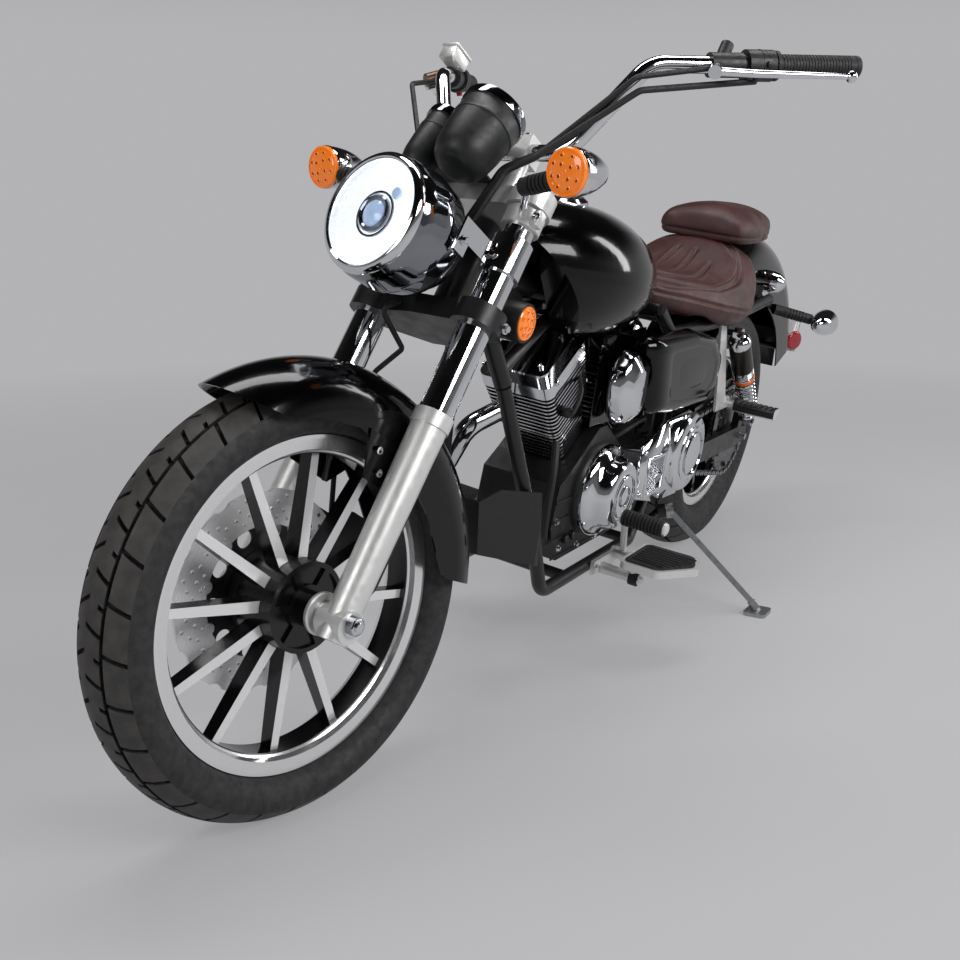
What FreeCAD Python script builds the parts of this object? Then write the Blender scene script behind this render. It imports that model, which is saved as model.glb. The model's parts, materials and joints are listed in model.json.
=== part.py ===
import FreeCAD, Part
import math
import os
from FreeCAD import Placement, Rotation, Vector

# Cruiser motorcycle with a finned V-twin, cast twelve-spoke front wheel, bullet
# headlamp and side stand, standing parked: leaning left on the stand with the
# steering turned a little to the right.
#
# The machine is drawn upright in millimetres: X forward, Y to the rider's left,
# Z up, with the rear tyre touching the ground at the origin.  The fork is drawn
# in its own frame: X forward of the steering axis, Y left, Z up along the axis.
# Rows of points beside the fork are (forward, left, along) in that frame.

# ---------------------------------------------------------------- driving sizes
WHEELBASE = 1573.0
RAKE = 34.25              # steering axis back from vertical, degrees
CLAMP_OFFSET = 38.0       # fork legs ahead of the steering axis
LEG_SPACING = 105.0       # fork leg from the middle plane
LEAN = 8.5                # lean to the left on the stand, degrees
STEER = -11.5             # steering at rest, degrees, positive to the left
ORIGIN_X = 691.0          # middle of the parked machine's box from the rear contact
ORIGIN_Y = 166.0

# fits
GAP = 0.3                 # curved faces of neighbours stay this far apart
BORE_CLEAR = 0.05         # running fit, on the radius
PLATE = 4.0               # pressed steel brackets
SKIN = 3.0                # fenders and covers

# tyres and rims
FRONT_TYRE_R = 316.5      # 110/80-18
FRONT_TYRE_HALF = 54.5
FRONT_CROWN_R = 62.0
FRONT_RIM_R = 228.6
FRONT_RIM_HALF = 33.0
REAR_TYRE_R = 315.0       # 140/90-15
REAR_TYRE_HALF = 73.0
REAR_CROWN_R = 84.0
REAR_RIM_R = 190.5
REAR_RIM_HALF = 46.0
FLANGE = 14.0             # rim flange above the bead seat
SPOKES = 12
FRONT_SPOKE_TURN = 23.7   # first spoke from the top, degrees
REAR_SPOKE_TURN = 15.0
FRONT_HUB_R = 66.0
FRONT_HUB_HALF = 38.0
REAR_HUB_R = 62.0
REAR_HUB_HALF = (45.0, 58.0)      # right, left
BOSS_R = 26.0
BOSS_HALF = 65.0
POCKET_R = (33.0, 59.0)           # recesses in the front hub's face
POCKET_BAR = 11.0
POCKET_DEEP = 5.0
FRONT_POCKETS = 6

# brake discs, sprockets and chain
FRONT_DISC_R = 150.0
FRONT_DISC_Y = (59.0, 64.0)
FRONT_PETALS = 12
REAR_DISC_R = 120.0
REAR_DISC_Y = (75.0, 80.0)
CHAIN_Y = 92.0
FRONT_SPROCKET = Vector(480, CHAIN_Y, 345)
FRONT_SPROCKET_R = 38.0
REAR_SPROCKET_R = 106.0
AXLE_R = 8.5

# fork
HEAD_LOW = 490.0          # steering head, along the steering axis
HEAD_TOP = 650.0
HEAD_R = 27.0
STEM_R = 15.0
SLIDER_TOP = 316.0
SLIDER_R_TOP = 27.5
SLIDER_R_LOW = 23.0
EYE_IN = LEG_SPACING - 25 # inner face of the axle lugs
EYE_R = 24.0
COVER_R = 26.0
COVER_TOP = 540.0
TUBE_UP_R = 24.0
LEG_TOP = 690.0
LOW_CLAMP = (455.0, 487.0)
TOP_CLAMP = (653.0, 683.0)
LAMP_C = Vector(214, 0, 527)
LAMP_R = 88.0
LAMP_BULGE = 8.0          # headlamp bowl outside its ring
LAMP_TILT = -11.5         # lamp axis below the fork frame's forward line, degrees
LAMP_ARM_Y = (99.0, 103.0)
GAUGE_AXIS = Vector(-0.23, 0, 0.97).normalize()
# instrument pods: forward, left, along of the dial, radius, depth
GAUGES = [(108, 26, 778, 50, 124), (106, -61, 766, 31, 112)]

# handlebar
BAR_R = 12.7
BAR_X = 33.0
BAR_Z = 762.0
BAR_BEND = 55.0
BAR_POINTS = [(BAR_X, 0, BAR_Z), (BAR_X, 120, BAR_Z), (40, 206, 915), (-181, 391, 1085)]
RISER_Y = 45.0
GRIP_R = 17.0
GRIP_LEN = 136.0
SWITCH = (138.0, 182.0)   # housings and perches, from the bar end
PERCH = (188.0, 240.0)
LEVER_AT = 224.0
LEVER_DOWN = Vector(0.55, 0.40, -0.735).normalize()
MIRROR_TOP = 38.0         # mirror thread, M10
MIRROR_DEPTH = 15.0
MIRROR_R = 4.3

# lamps
SIGNAL_R = 34.0
SIGNAL_LENGTH = 84.0
STALK_R = 14.0
FRONT_SIGNAL = Vector(143, 240, 650)
REAR_SIGNAL = Vector(-285, 202, 594)

# frame
BACKBONE_R = 21.0
BONE_MID = Vector(880, 0, 704)
BONE_END = Vector(655, 0, 682)
TUBE_R = 15.0
CRADLE_Y = 100.0
CRADLE_Z = 182.0          # axis of the bottom rails
CRADLE_R = 13.0
CROSS_R = 11.0
MOUNT_X = (880.0, 590.0)  # engine mounts on the bottom rails
UPRIGHT_X = 428.0
UPRIGHT_Y = 62.0          # rear uprights stand between the chain runs
PIVOT = Vector(400, 0, 322)
PIVOT_TUBE_R = 20.0
RAIL_Y = 106.0
RAIL_Z = 630.0
RAIL_R = 13.0
WEB_HALF = 22.0
TUNNEL_HALF = 44.0        # tank's tunnel over the backbone

# rear suspension
ARM_IN = 103.0            # swingarm arms, inner and outer faces
ARM_OUT = 121.0
SHOCK_Y = 140.0
SHOCK_TOP = Vector(235, SHOCK_Y, 600)
SHOCK_LOW = Vector(15, SHOCK_Y, REAR_TYRE_R + 47)
SHOCK_PIN_R = 7.0

# engine
CRANK = Vector(775, 0, 335)
V_HALF_ANGLE = 34.0
CASE_HALF = 82.0
CASE_FLOOR = 215.0
DECK = 112.0              # cylinder base from the crank, along the cylinder
BARREL_R = 44.0
BARREL_COUNT = 8
BARREL_FIN = (112.0, 58.0)        # fin width and half depth
HEAD_COUNT = 10
HEAD_FIN = (146.0, 71.0)
FIN_PITCH = 9.9
FIN_T = 3.0
HEAD_TOP_Z = DECK + 6 + (BARREL_COUNT + HEAD_COUNT) * FIN_PITCH
COVER_RISE = (26.0, 18.0)         # rocker cover, skirt and crown
INTAKE_Z = 542.0
EXHAUST_R = 19.0
LOW_SILENCER = Vector(560, -150, 214)
HIGH_SILENCER = Vector(430, -185, 300)

# fenders
FRONT_FENDER_R = FRONT_TYRE_R + 29.5
FRONT_FENDER_HALF = FRONT_TYRE_HALF + 20.5
FRONT_FENDER_SPAN = (66.0, 58.0)          # degrees back and forward of the fork line
REAR_FENDER_C = Vector(-53, 0, REAR_TYRE_R + 21)
REAR_FENDER_R = REAR_TYRE_R + 150
REAR_FENDER_HALF = REAR_TYRE_HALF + 11
REAR_FENDER_LOW = REAR_TYRE_R - 15
REAR_FENDER_SPAN = (69.0, 24.0)
INNER_FENDER_C = Vector(10, 0, REAR_TYRE_R + 30)
INNER_FENDER_R = REAR_TYRE_R + 19
PLATE_HALF = 83.0
PLATE_Z = (466.0, 568.0)
PLATE_HOLE_Y = 73.0
PLATE_HOLE_R = 3.5

# bodywork: x, bottom, top, half width at the bottom, half width, widest height
TANK_REAR = 630.0
SEAT_SECTIONS = [
    (TANK_REAR - GAP, 676, 756, 56, 82, 710),
    (520, 655, 742, 95, 120, 698),
    (400, 632, 728, 125, 158, 690),
    (280, 618, 748, 135, 170, 692),
    (200, 640, 779, 110, 150, 712),
    (160, 690, 779, 80, 120, 740),
]
PILLION_SECTIONS = [
    (225, 787, 850, 80, 100, 815),
    (190, 787, 868, 100, 112, 820),
    (60, 789, 870, 98, 106, 825),
    (-50, 796, 858, 75, 84, 825),
    (-75, 803, 840, 60, 72, 822),
]
PAN_HALF = 124.0          # hollow under the seat over the rails
PAN_TOP = 652.0
COVER_IN = 120.0          # side covers, inner face and crown
COVER_OUT = 152.0
PANEL_Y = 77.0            # flat panels forward of the side covers

# controls and stand
PAD_Z = 214.0
STAND_PIVOT = Vector(480, 142, 234)
STAND_FOOT = (442.5, 370.0)
STAND_AXIS = Vector(-0.417, 0.862, 0.289).normalize()
STAND_PIN_R = 6.0
STAND_EYE_R = 17.0
STAND_EYE_HALF = 8.0


# ---------------------------------------------------------------- small helpers
def rod(a, b, r):
    return Part.makeCylinder(r, (b - a).Length, a, b - a)


def pipe(a, b, r_out, r_in):
    return rod(a, b, r_out).cut(rod(a, b, r_in))


def taper(a, b, r_a, r_b):
    return Part.makeCone(r_a, r_b, (b - a).Length, a, b - a)


def block(x0, x1, y0, y1, z0, z1):
    return Part.makeBox(x1 - x0, y1 - y0, z1 - z0, Vector(x0, y0, z0))


def mirrored(shape):
    return shape.mirror(Vector(0, 0, 0), Vector(0, 1, 0))


def both_sides(shape):
    return [shape, mirrored(shape)]


def joined(shapes):
    return shapes[0].fuse(list(shapes[1:])).removeSplitter()


def prism(points, direction):
    wire = Part.makePolygon(list(points) + [points[0]])
    return Part.Face(wire).extrude(direction)


def side_plate(outline, y0, y1):
    """Plate in the XZ plane from y0 to y1; outline is a list of (x, z)."""
    return prism([Vector(x, y0, z) for x, z in outline], Vector(0, y1 - y0, 0))


def turned(profile, centre, axis):
    """Solid of revolution; profile is a closed list of (radius, height)."""
    points = [Vector(r, 0, h) for r, h in profile]
    face = Part.Face(Part.makePolygon(points + [points[0]]))
    solid = face.revolve(Vector(0, 0, 0), Vector(0, 0, 1), 360)
    solid.Placement = Placement(centre, Rotation(Vector(0, 0, 1), axis))
    return solid


def bent_path(points, bend):
    """Straight runs joined by tangent arcs of the given radius."""
    edges = []
    start = points[0]
    for before, corner, after in zip(points, points[1:], points[2:]):
        u = (before - corner).normalize()
        w = (after - corner).normalize()
        half = u.getAngle(w) / 2
        reach = bend / math.tan(half)
        a = corner + u * reach
        b = corner + w * reach
        middle = corner + (u + w).normalize() * (bend / math.sin(half) - bend)
        edges.append(Part.LineSegment(start, a).toShape())
        edges.append(Part.Arc(a, middle, b).toShape())
        start = b
    edges.append(Part.LineSegment(start, points[-1]).toShape())
    return Part.Wire(edges)


def bent_rod(points, bend, r):
    path = bent_path(points, bend)
    ring = Part.Wire(Part.makeCircle(r, points[0], points[1] - points[0]))
    return path.makePipeShell([ring], True, True)


def smooth_outline(points, bend):
    """Closed wire through the corners, each rounded by an arc of the given radius."""
    first = (points[0] + points[-1]) * 0.5
    path = bent_path([first] + list(points) + [first], bend)
    return Part.Wire(path.Edges)


def elliptic(x, y, z, half_x, half_z):
    """Upright elliptic ring facing +Y."""
    tall = half_z > half_x
    ring = Part.Ellipse(Vector(0, 0, 0), max(half_x, half_z), min(half_x, half_z)).toShape()
    turn = Rotation(Vector(1, 0, 0), 90)
    if tall:
        turn = turn.multiply(Rotation(Vector(0, 0, 1), 90))
    ring.Placement = Placement(Vector(x, y, z), turn)
    return Part.Wire([ring])


def rounded(shape, radius, pick):
    edges = [e for e in shape.Edges if pick(e)]
    return shape.makeFillet(radius, edges) if edges else shape


def upright(edge):
    return abs(edge.tangentAt(edge.FirstParameter).z) > 0.9


# ---------------------------------------------------------------- placing
def tyre_low(centre, axis, outer, crown):
    flat = math.sqrt(1 - axis.z ** 2)
    return centre.z - (outer - crown) * flat - crown


def fork_placement():
    """Fork frame to the upright machine, with the steering turned."""
    tilt = Rotation(Vector(0, 1, 0), -RAKE)
    forward = tilt.multVec(Vector(1, 0, 0))
    foot = Vector(WHEELBASE, 0, FRONT_TYRE_R) - forward * CLAMP_OFFSET
    return Placement(foot, tilt.multiply(Rotation(Vector(0, 0, 1), STEER)))


def fork_to_frame(fwd, lat, along):
    """A point of the unturned fork frame in the upright machine's frame."""
    tilt = Rotation(Vector(0, 1, 0), -RAKE)
    forward = tilt.multVec(Vector(1, 0, 0))
    foot = Vector(WHEELBASE, 0, FRONT_TYRE_R) - forward * CLAMP_OFFSET
    return foot + tilt.multVec(Vector(fwd, lat, along))


def parked_placement():
    """Upright machine to the parked one: both tyres on the ground."""
    fork = fork_placement()
    front_hub = fork.multVec(Vector(CLAMP_OFFSET, 0, 0))
    front_axis = fork.Rotation.multVec(Vector(0, 1, 0))
    rear_hub = Vector(0, 0, REAR_TYRE_R)
    pitch = 0.0
    for _ in range(6):
        turn = Rotation(Vector(0, 1, 0), pitch).multiply(Rotation(Vector(1, 0, 0), -LEAN))
        rear = tyre_low(turn.multVec(rear_hub), turn.multVec(Vector(0, 1, 0)),
                        REAR_TYRE_R, REAR_CROWN_R)
        front = tyre_low(turn.multVec(front_hub), turn.multVec(front_axis),
                         FRONT_TYRE_R, FRONT_CROWN_R)
        pitch += math.degrees(math.atan2(front - rear, WHEELBASE))
    return Placement(Vector(-ORIGIN_X, -ORIGIN_Y, -rear), turn)


PARKED = parked_placement()
FORK = PARKED.multiply(fork_placement())

# points of the frame that follow the steering head
NECK_LOW = fork_to_frame(0, 0, HEAD_LOW + GAP)
NECK_TOP = fork_to_frame(0, 0, HEAD_TOP)
NECK = fork_to_frame(0, 0, (HEAD_LOW + HEAD_TOP) / 2)
JOINT = NECK + Vector(-80, 50, -182)
CRADLE_FRONT = Vector(JOINT.x - 91, CRADLE_Y, JOINT.z - 270)
TANK_MOUNT = NECK + Vector(-221, 0, -46)
FENDER_STUD_X = -40.0
LEG_R_TOP = 35.0          # yoke bosses round the fork legs
LEG_R_LOW = 38.0
PLATE_X = REAR_FENDER_C.x - REAR_FENDER_R * math.sin(math.radians(REAR_FENDER_SPAN[0])) - 11
PLATE_HOLE_Z = PLATE_Z[1] - 15
REFLECTOR_Z = PLATE_Z[0] + 34


# ---------------------------------------------------------------- wheels
def tyre(outer, half, crown, rim_r, rim_half):
    """Tyre about the Y axis: bead, sidewall and crown arcs."""
    edge_y = half * 0.93
    edge_r = outer - crown + math.sqrt(crown ** 2 - edge_y ** 2)
    bead_y = rim_half - 3.0
    seat = rim_r + 0.4
    lip = rim_r + FLANGE + 1.0
    mid_r = (edge_r + lip) / 2

    def p(y, r):
        return Vector(r, y, 0)

    edges = [
        Part.Arc(p(-edge_y, edge_r), p(0, outer), p(edge_y, edge_r)).toShape(),
        Part.Arc(p(edge_y, edge_r), p(half, mid_r), p(bead_y, lip)).toShape(),
        Part.LineSegment(p(bead_y, lip), p(bead_y, seat)).toShape(),
        Part.LineSegment(p(bead_y, seat), p(-bead_y, seat)).toShape(),
        Part.LineSegment(p(-bead_y, seat), p(-bead_y, lip)).toShape(),
        Part.Arc(p(-bead_y, lip), p(-half, mid_r), p(-edge_y, edge_r)).toShape(),
    ]
    return Part.Face(Part.Wire(edges)).revolve(Vector(0, 0, 0), Vector(0, 1, 0), 360)


def rim(rim_r, rim_half):
    """Rim barrel with flanges and a stepped lip each side, about Y."""
    lip = rim_r + FLANGE
    side = [(rim_r, rim_half - 2.5), (lip, rim_half - 2.5), (lip, rim_half), (lip - 5, rim_half),
            (rim_r - 6, rim_half - 2), (rim_r - 9, rim_half - 10), (rim_r - 14, rim_half - 14)]
    points = [Vector(r, y, 0) for r, y in side]
    points += [Vector(r, -y, 0) for r, y in reversed(side)]
    face = Part.Face(Part.makePolygon(points + [points[0]]))
    return face.revolve(Vector(0, 0, 0), Vector(0, 1, 0), 360)


def spoke(r_in, r_out, w_in, w_out, depth_in, depth_out, angle):
    """One straight cast spoke, deeper and wider at the hub."""
    def section(r, w, d):
        pts = [Vector(-w / 2, -d, r), Vector(w / 2, -d, r), Vector(w / 2, d, r),
               Vector(-w / 2, d, r)]
        return Part.makePolygon(pts + [pts[0]])
    arm = Part.makeLoft([section(r_in, w_in, depth_in), section(r_out, w_out, depth_out)],
                        True, True)
    arm.rotate(Vector(0, 0, 0), Vector(0, 1, 0), angle)
    return arm


def disc_y(r, y0, y1):
    return Part.makeCylinder(r, y1 - y0, Vector(0, y0, 0), Vector(0, 1, 0))


def hub_pockets(face_y):
    """Sector recesses round the hub's outer face."""
    inner, outer = POCKET_R
    ring = disc_y(outer, face_y - POCKET_DEEP, face_y + 1).cut(disc_y(inner, 0, face_y + 2))
    for i in range(FRONT_POCKETS // 2):
        bar = block(-outer - 2, outer + 2, 0, face_y + 2, -POCKET_BAR / 2, POCKET_BAR / 2)
        bar.rotate(Vector(0, 0, 0), Vector(0, 1, 0), 360.0 / FRONT_POCKETS * i + FRONT_SPOKE_TURN)
        ring = ring.cut(bar)
    return ring


def front_rim():
    hub = disc_y(FRONT_HUB_R, -FRONT_HUB_HALF, FRONT_HUB_HALF).cut(hub_pockets(FRONT_HUB_HALF))
    hub = hub.fuse(disc_y(BOSS_R, -BOSS_HALF + 1, BOSS_HALF + 1))
    pieces = [rim(FRONT_RIM_R, FRONT_RIM_HALF), hub]
    for i in range(SPOKES):
        pieces.append(spoke(FRONT_HUB_R - 6, FRONT_RIM_R - 12, 17, 13, 15, 11,
                            360.0 / SPOKES * i + FRONT_SPOKE_TURN))
    return joined(pieces).cut(disc_y(AXLE_R + BORE_CLEAR, -80, 80))


def front_disc():
    """Petal disc on a carrier bolted to the hub's right face."""
    y0, y1 = FRONT_DISC_Y
    ring = disc_y(FRONT_DISC_R, -y1, -y0).cut(disc_y(98, -y1 - 1, -y0 + 1))
    for i in range(FRONT_PETALS):
        notch = Part.makeCylinder(20, 20, Vector(0, -y1 - 5, FRONT_DISC_R + 15), Vector(0, 1, 0))
        notch.rotate(Vector(0, 0, 0), Vector(0, 1, 0), 360.0 / FRONT_PETALS * i)
        ring = ring.cut(notch)
    carrier = disc_y(104, -y1 + 1.5, -y0 + 0.5).cut(disc_y(60, -y1 - 1, -y0 + 1))
    flange = disc_y(FRONT_HUB_R - 2, -y0, -FRONT_HUB_HALF - GAP).cut(disc_y(BOSS_R + GAP, -70, -30))
    return joined([ring, carrier, flange])


def rear_rim():
    right, left = REAR_HUB_HALF
    hub = disc_y(REAR_HUB_R, -right, left).fuse(disc_y(24, -92, 90))
    pieces = [rim(REAR_RIM_R, REAR_RIM_HALF), hub]
    for i in range(SPOKES):
        pieces.append(spoke(REAR_HUB_R - 6, REAR_RIM_R - 12, 18, 14, 16, 12,
                            360.0 / SPOKES * i + REAR_SPOKE_TURN))
    return joined(pieces).cut(disc_y(AXLE_R + BORE_CLEAR, -100, 100))


def rear_sprocket():
    plate = disc_y(REAR_SPROCKET_R - 5, CHAIN_Y - 3, CHAIN_Y + 3).cut(disc_y(60, 80, 110))
    carrier = disc_y(66, REAR_HUB_HALF[1] + GAP, CHAIN_Y + 3).cut(disc_y(24 + GAP, 50, 110))
    return joined([plate, carrier])


def rear_disc():
    y0, y1 = REAR_DISC_Y
    ring = disc_y(REAR_DISC_R, -y1, -y0).cut(disc_y(70, -y1 - 1, -y0 + 1))
    carrier = disc_y(76, -y1 + 1, -REAR_HUB_HALF[0] - GAP).cut(disc_y(24 + GAP, -y1, -30))
    return joined([ring, carrier])


# ---------------------------------------------------------------- fork group
def leg_rod(y, z0, z1, r):
    """Cylinder on a fork leg's axis."""
    return rod(Vector(CLAMP_OFFSET, y, z0), Vector(CLAMP_OFFSET, y, z1), r)


def fork_tubes():
    low = SLIDER_TOP + GAP
    upper = leg_rod(LEG_SPACING, low, LEG_TOP, TUBE_UP_R)
    cover = leg_rod(LEG_SPACING, low, COVER_TOP, COVER_R)
    return Part.makeCompound(both_sides(upper.fuse(cover)))


def fork_sliders():
    y = LEG_SPACING
    body = taper(Vector(CLAMP_OFFSET, y, -30), Vector(CLAMP_OFFSET, y, SLIDER_TOP),
                 SLIDER_R_LOW, SLIDER_R_TOP)
    eye = rod(Vector(CLAMP_OFFSET, EYE_IN, -4), Vector(CLAMP_OFFSET, y + EYE_R, -4), EYE_R)
    collar = leg_rod(y, SLIDER_TOP - 22, SLIDER_TOP, SLIDER_R_TOP + 2)
    bore = rod(Vector(CLAMP_OFFSET, y - 60, 0), Vector(CLAMP_OFFSET, y + 60, 0),
               AXLE_R + BORE_CLEAR)
    return Part.makeCompound(both_sides(joined([body, eye, collar]).cut(bore)))


def clamp(z0, z1, leg_r, tube_hole):
    """Yoke joining the two legs at the steering stem."""
    wing = LEG_SPACING + 12
    outline = [(-34, -30), (-34, 30), (CLAMP_OFFSET - 34, wing), (CLAMP_OFFSET + 20, wing),
               (CLAMP_OFFSET + 30, 0), (CLAMP_OFFSET + 20, -wing), (CLAMP_OFFSET - 34, -wing)]
    plate = prism([Vector(x, y, z0) for x, y in outline], Vector(0, 0, z1 - z0))
    for y in (-LEG_SPACING, LEG_SPACING):
        plate = plate.fuse(leg_rod(y, z0, z1, leg_r))
    for y in (-LEG_SPACING, LEG_SPACING):
        plate = plate.cut(leg_rod(y, z0 - 1, z1 + 1, tube_hole))
    return plate


def upper_clamp():
    parts = [clamp(TOP_CLAMP[0], TOP_CLAMP[1], LEG_R_TOP, TUBE_UP_R + GAP)]
    for y in (-RISER_Y, RISER_Y):
        parts.append(taper(Vector(BAR_X, y, TOP_CLAMP[1] - 1), Vector(BAR_X, y, BAR_Z - 12), 18, 14))
        parts.append(block(BAR_X - 20, BAR_X + 18, y - 16, y + 16, BAR_Z - 20, BAR_Z + 21))
    bar = rod(Vector(BAR_X, -80, BAR_Z), Vector(BAR_X, 80, BAR_Z), BAR_R + GAP)
    return joined(parts).cut(bar)


def lower_clamp():
    yoke = clamp(LOW_CLAMP[0], LOW_CLAMP[1], LEG_R_LOW, COVER_R + GAP)
    stem = rod(Vector(0, 0, LOW_CLAMP[1] - 1), Vector(0, 0, TOP_CLAMP[0]), STEM_R)
    return yoke.fuse(stem)


def bar_end():
    """End of the bar and the unit vector that points inward along the grip."""
    end = Vector(*BAR_POINTS[-1])
    return end, (Vector(*BAR_POINTS[-2]) - end).normalize()


def handlebar():
    half = bent_rod([Vector(*point) for point in BAR_POINTS], BAR_BEND, BAR_R)
    return joined(both_sides(half))


def bar_grips():
    end, inward = bar_end()
    outer = end - inward * 3
    grip = pipe(outer, end + inward * GRIP_LEN, GRIP_R, BAR_R + GAP)
    cap = rod(outer - inward * 10, outer, GRIP_R - 1)
    flange = pipe(end + inward * (GRIP_LEN - 7), end + inward * GRIP_LEN, GRIP_R + 5, BAR_R + GAP)
    return Part.makeCompound(both_sides(joined([grip, cap, flange])))


def bar_switches():
    """Switch housing, lever perch and threaded mirror boss beside each grip."""
    end, inward = bar_end()
    body = rod(end + inward * SWITCH[0], end + inward * SWITCH[1], 23)
    neck = rod(end + inward * SWITCH[1], end + inward * PERCH[0], 15.5)
    perch = rod(end + inward * PERCH[0], end + inward * PERCH[1], 18)
    root = end + inward * LEVER_AT
    arm = rod(root + LEVER_DOWN * 12, root + LEVER_DOWN * 36, 9)
    boss = rod(root + Vector(0, 0, 12), root + Vector(0, 0, MIRROR_TOP), 10)
    thread = rod(root + Vector(0, 0, MIRROR_TOP - MIRROR_DEPTH),
                 root + Vector(0, 0, MIRROR_TOP + 6), MIRROR_R)
    bar = rod(end, end + inward * (PERCH[1] + 10), BAR_R + GAP)
    one = joined([body, neck, perch, arm, boss]).cut(bar).cut(thread)
    return Part.makeCompound(both_sides(one))


def bar_levers():
    end, inward = bar_end()
    root = end + inward * LEVER_AT + LEVER_DOWN * 44
    elbow = end + inward * (LEVER_AT - 60) + LEVER_DOWN * 56
    tip = end + LEVER_DOWN * 68 - inward * 2
    pivot = rod(root - LEVER_DOWN * (8 - GAP), root + LEVER_DOWN * 8, 10)
    blade = taper(root, elbow, 6.5, 6.0).fuse(Part.makeSphere(6, elbow))
    blade = blade.fuse(taper(elbow, tip, 6.0, 4.5)).fuse(Part.makeSphere(9, tip))
    return Part.makeCompound(both_sides(joined([pivot, blade]))).cut(bar_switches())


def cables():
    """Control lines from the perches to the headlamp, and the lines down the fork."""
    end, inward = bar_end()
    bend = Vector(*BAR_POINTS[-2])
    clutch = [end + inward * (PERCH[1] - 2) + LEVER_DOWN * 25, bend + Vector(34, 16, -52),
              Vector(80, 118, 728), Vector(80, 60, 700), Vector(80, 36, 598)]
    wiring = [end + inward * (SWITCH[0] + 16) + Vector(-8, -4, -22), bend + Vector(22, 22, -66),
              Vector(90, 122, 712), Vector(88, 78, 690), Vector(84, 52, 592)]
    throttle = [mirror_point(end + inward * (PERCH[1] - 2) + LEVER_DOWN * 25),
                mirror_point(bend + Vector(38, 14, -50)), Vector(80, -114, 716),
                Vector(79, -66, 640), Vector(78, -44, 592)]
    hose = [Vector(62, -30, 470), Vector(92, -38, 446), Vector(8, -42, 420), Vector(-20, -106, 386),
            Vector(-20, -106, 240), Vector(-64, -106, 160), Vector(-68, -78, 124)]
    meter = [Vector(16, 100, 20), Vector(2, LEG_SPACING, 60), Vector(4, LEG_SPACING, 470)]
    lines = [bent_rod(clutch, 22, 4.2), bent_rod(wiring, 22, 4.8), bent_rod(throttle, 22, 4.2),
             bent_rod(hose, 11, 4.2), bent_rod(meter, 22, 3.0)]
    rest = [headlamp_shell(), lower_clamp(), fork_sliders(), bar_switches(), brake_caliper()]
    return Part.makeCompound(lines).cut(Part.makeCompound(rest))


def mirror_point(p):
    return Vector(p.x, -p.y, p.z)


def lamp_axis():
    tilt = math.radians(LAMP_TILT)
    return Vector(math.cos(tilt), 0, math.sin(tilt))


def headlamp_shell():
    """Deep bowl with a rolled ring, open at the front for the lens."""
    full = LAMP_R + LAMP_BULGE
    bowl = [(0, -156), (38, -150), (68, -130), (LAMP_R, -100), (full, -60), (full - 3, -20),
            (LAMP_R, -6), (LAMP_R, 0), (LAMP_R - 6, 4), (LAMP_R - 9, 4), (LAMP_R - 9, -10), (0, -10)]
    shell = turned(bowl, LAMP_C, lamp_axis())
    ears = []
    for side in (-1, 1):
        ears.append(rod(Vector(LAMP_C.x - 84, side * 60, LAMP_C.z + 10),
                        Vector(LAMP_C.x - 84, side * (LAMP_ARM_Y[0] - GAP), LAMP_C.z + 10), 9))
    return joined([shell] + ears)


def headlamp_lens():
    axis = lamp_axis()
    profile = [(0, -9), (LAMP_R - 9.5, -9), (LAMP_R - 9.5, 1), (60, 8), (30, 12), (0, 13)]
    return turned(profile, LAMP_C, axis)


def headlamp_brackets():
    """Split clamps on the fork legs with flat arms to the lamp's ears."""
    band = leg_rod(LEG_SPACING, 543, 600, 31)
    ear_x = LAMP_C.x - 84
    arm = block(CLAMP_OFFSET + 20, ear_x + 12, LAMP_ARM_Y[0], LAMP_ARM_Y[1],
                LAMP_C.z + 16, LAMP_C.z + 48)
    ear = block(ear_x - 12, ear_x + 12, LAMP_ARM_Y[0], LAMP_ARM_Y[1], LAMP_C.z - 4, LAMP_C.z + 48)
    piece = joined([band, arm, ear]).cut(leg_rod(LEG_SPACING, 500, 700, TUBE_UP_R + GAP))
    return Part.makeCompound(both_sides(piece))


def gauge(x, y, z, r, depth):
    """Round instrument pod with a rounded bottom, a bezel and a sunk dial."""
    bezel = 14.0
    profile = [(0, -depth), (r * 0.5, -depth), (r * 0.82, -depth * 0.86), (r * 0.97, -depth * 0.55),
               (r, -bezel), (r + 3, -bezel), (r + 3, 0), (r - 3, 0), (r - 3, -4), (0, -4)]
    return turned(profile, Vector(x, y, z), GAUGE_AXIS)


def gauge_pods():
    front = CLAMP_OFFSET + 20
    foot = block(front, GAUGES[0][0], -70, 40, TOP_CLAMP[1], TOP_CLAMP[1] + PLATE)
    return joined([gauge(*row) for row in GAUGES] + [foot])


def front_fender():
    """Deep fender with a rolled crown, its sides cut to a sweeping lower edge."""
    back, front = FRONT_FENDER_SPAN
    centre = Vector(CLAMP_OFFSET, 0, 0)
    shell = arch(centre, FRONT_FENDER_R, FRONT_FENDER_HALF, FRONT_FENDER_HALF,
                 FRONT_TYRE_R - 130, back, front)
    far = FRONT_FENDER_R + 80
    # lower edge of the sides, from the nose back
    edge = [(far, 186), (250, 199), (191, 226), (127, 244), (20, 240), (-67, 198), (-162, 130),
            (-292, 157), (-far, 157), (-far, far), (far, far)]
    keep = Part.Face(smooth_outline([Vector(x, -120, z) for x, z in edge], 22))
    shell = shell.common(keep.extrude(Vector(0, 240, 0)))
    y0 = FRONT_FENDER_HALF - 1
    lug = side_plate([(112, 252), (84, 188), (2, 188), (-36, 236), (-20, 250)], y0, y0 + PLATE)
    return joined([shell] + both_sides(lug))


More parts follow.
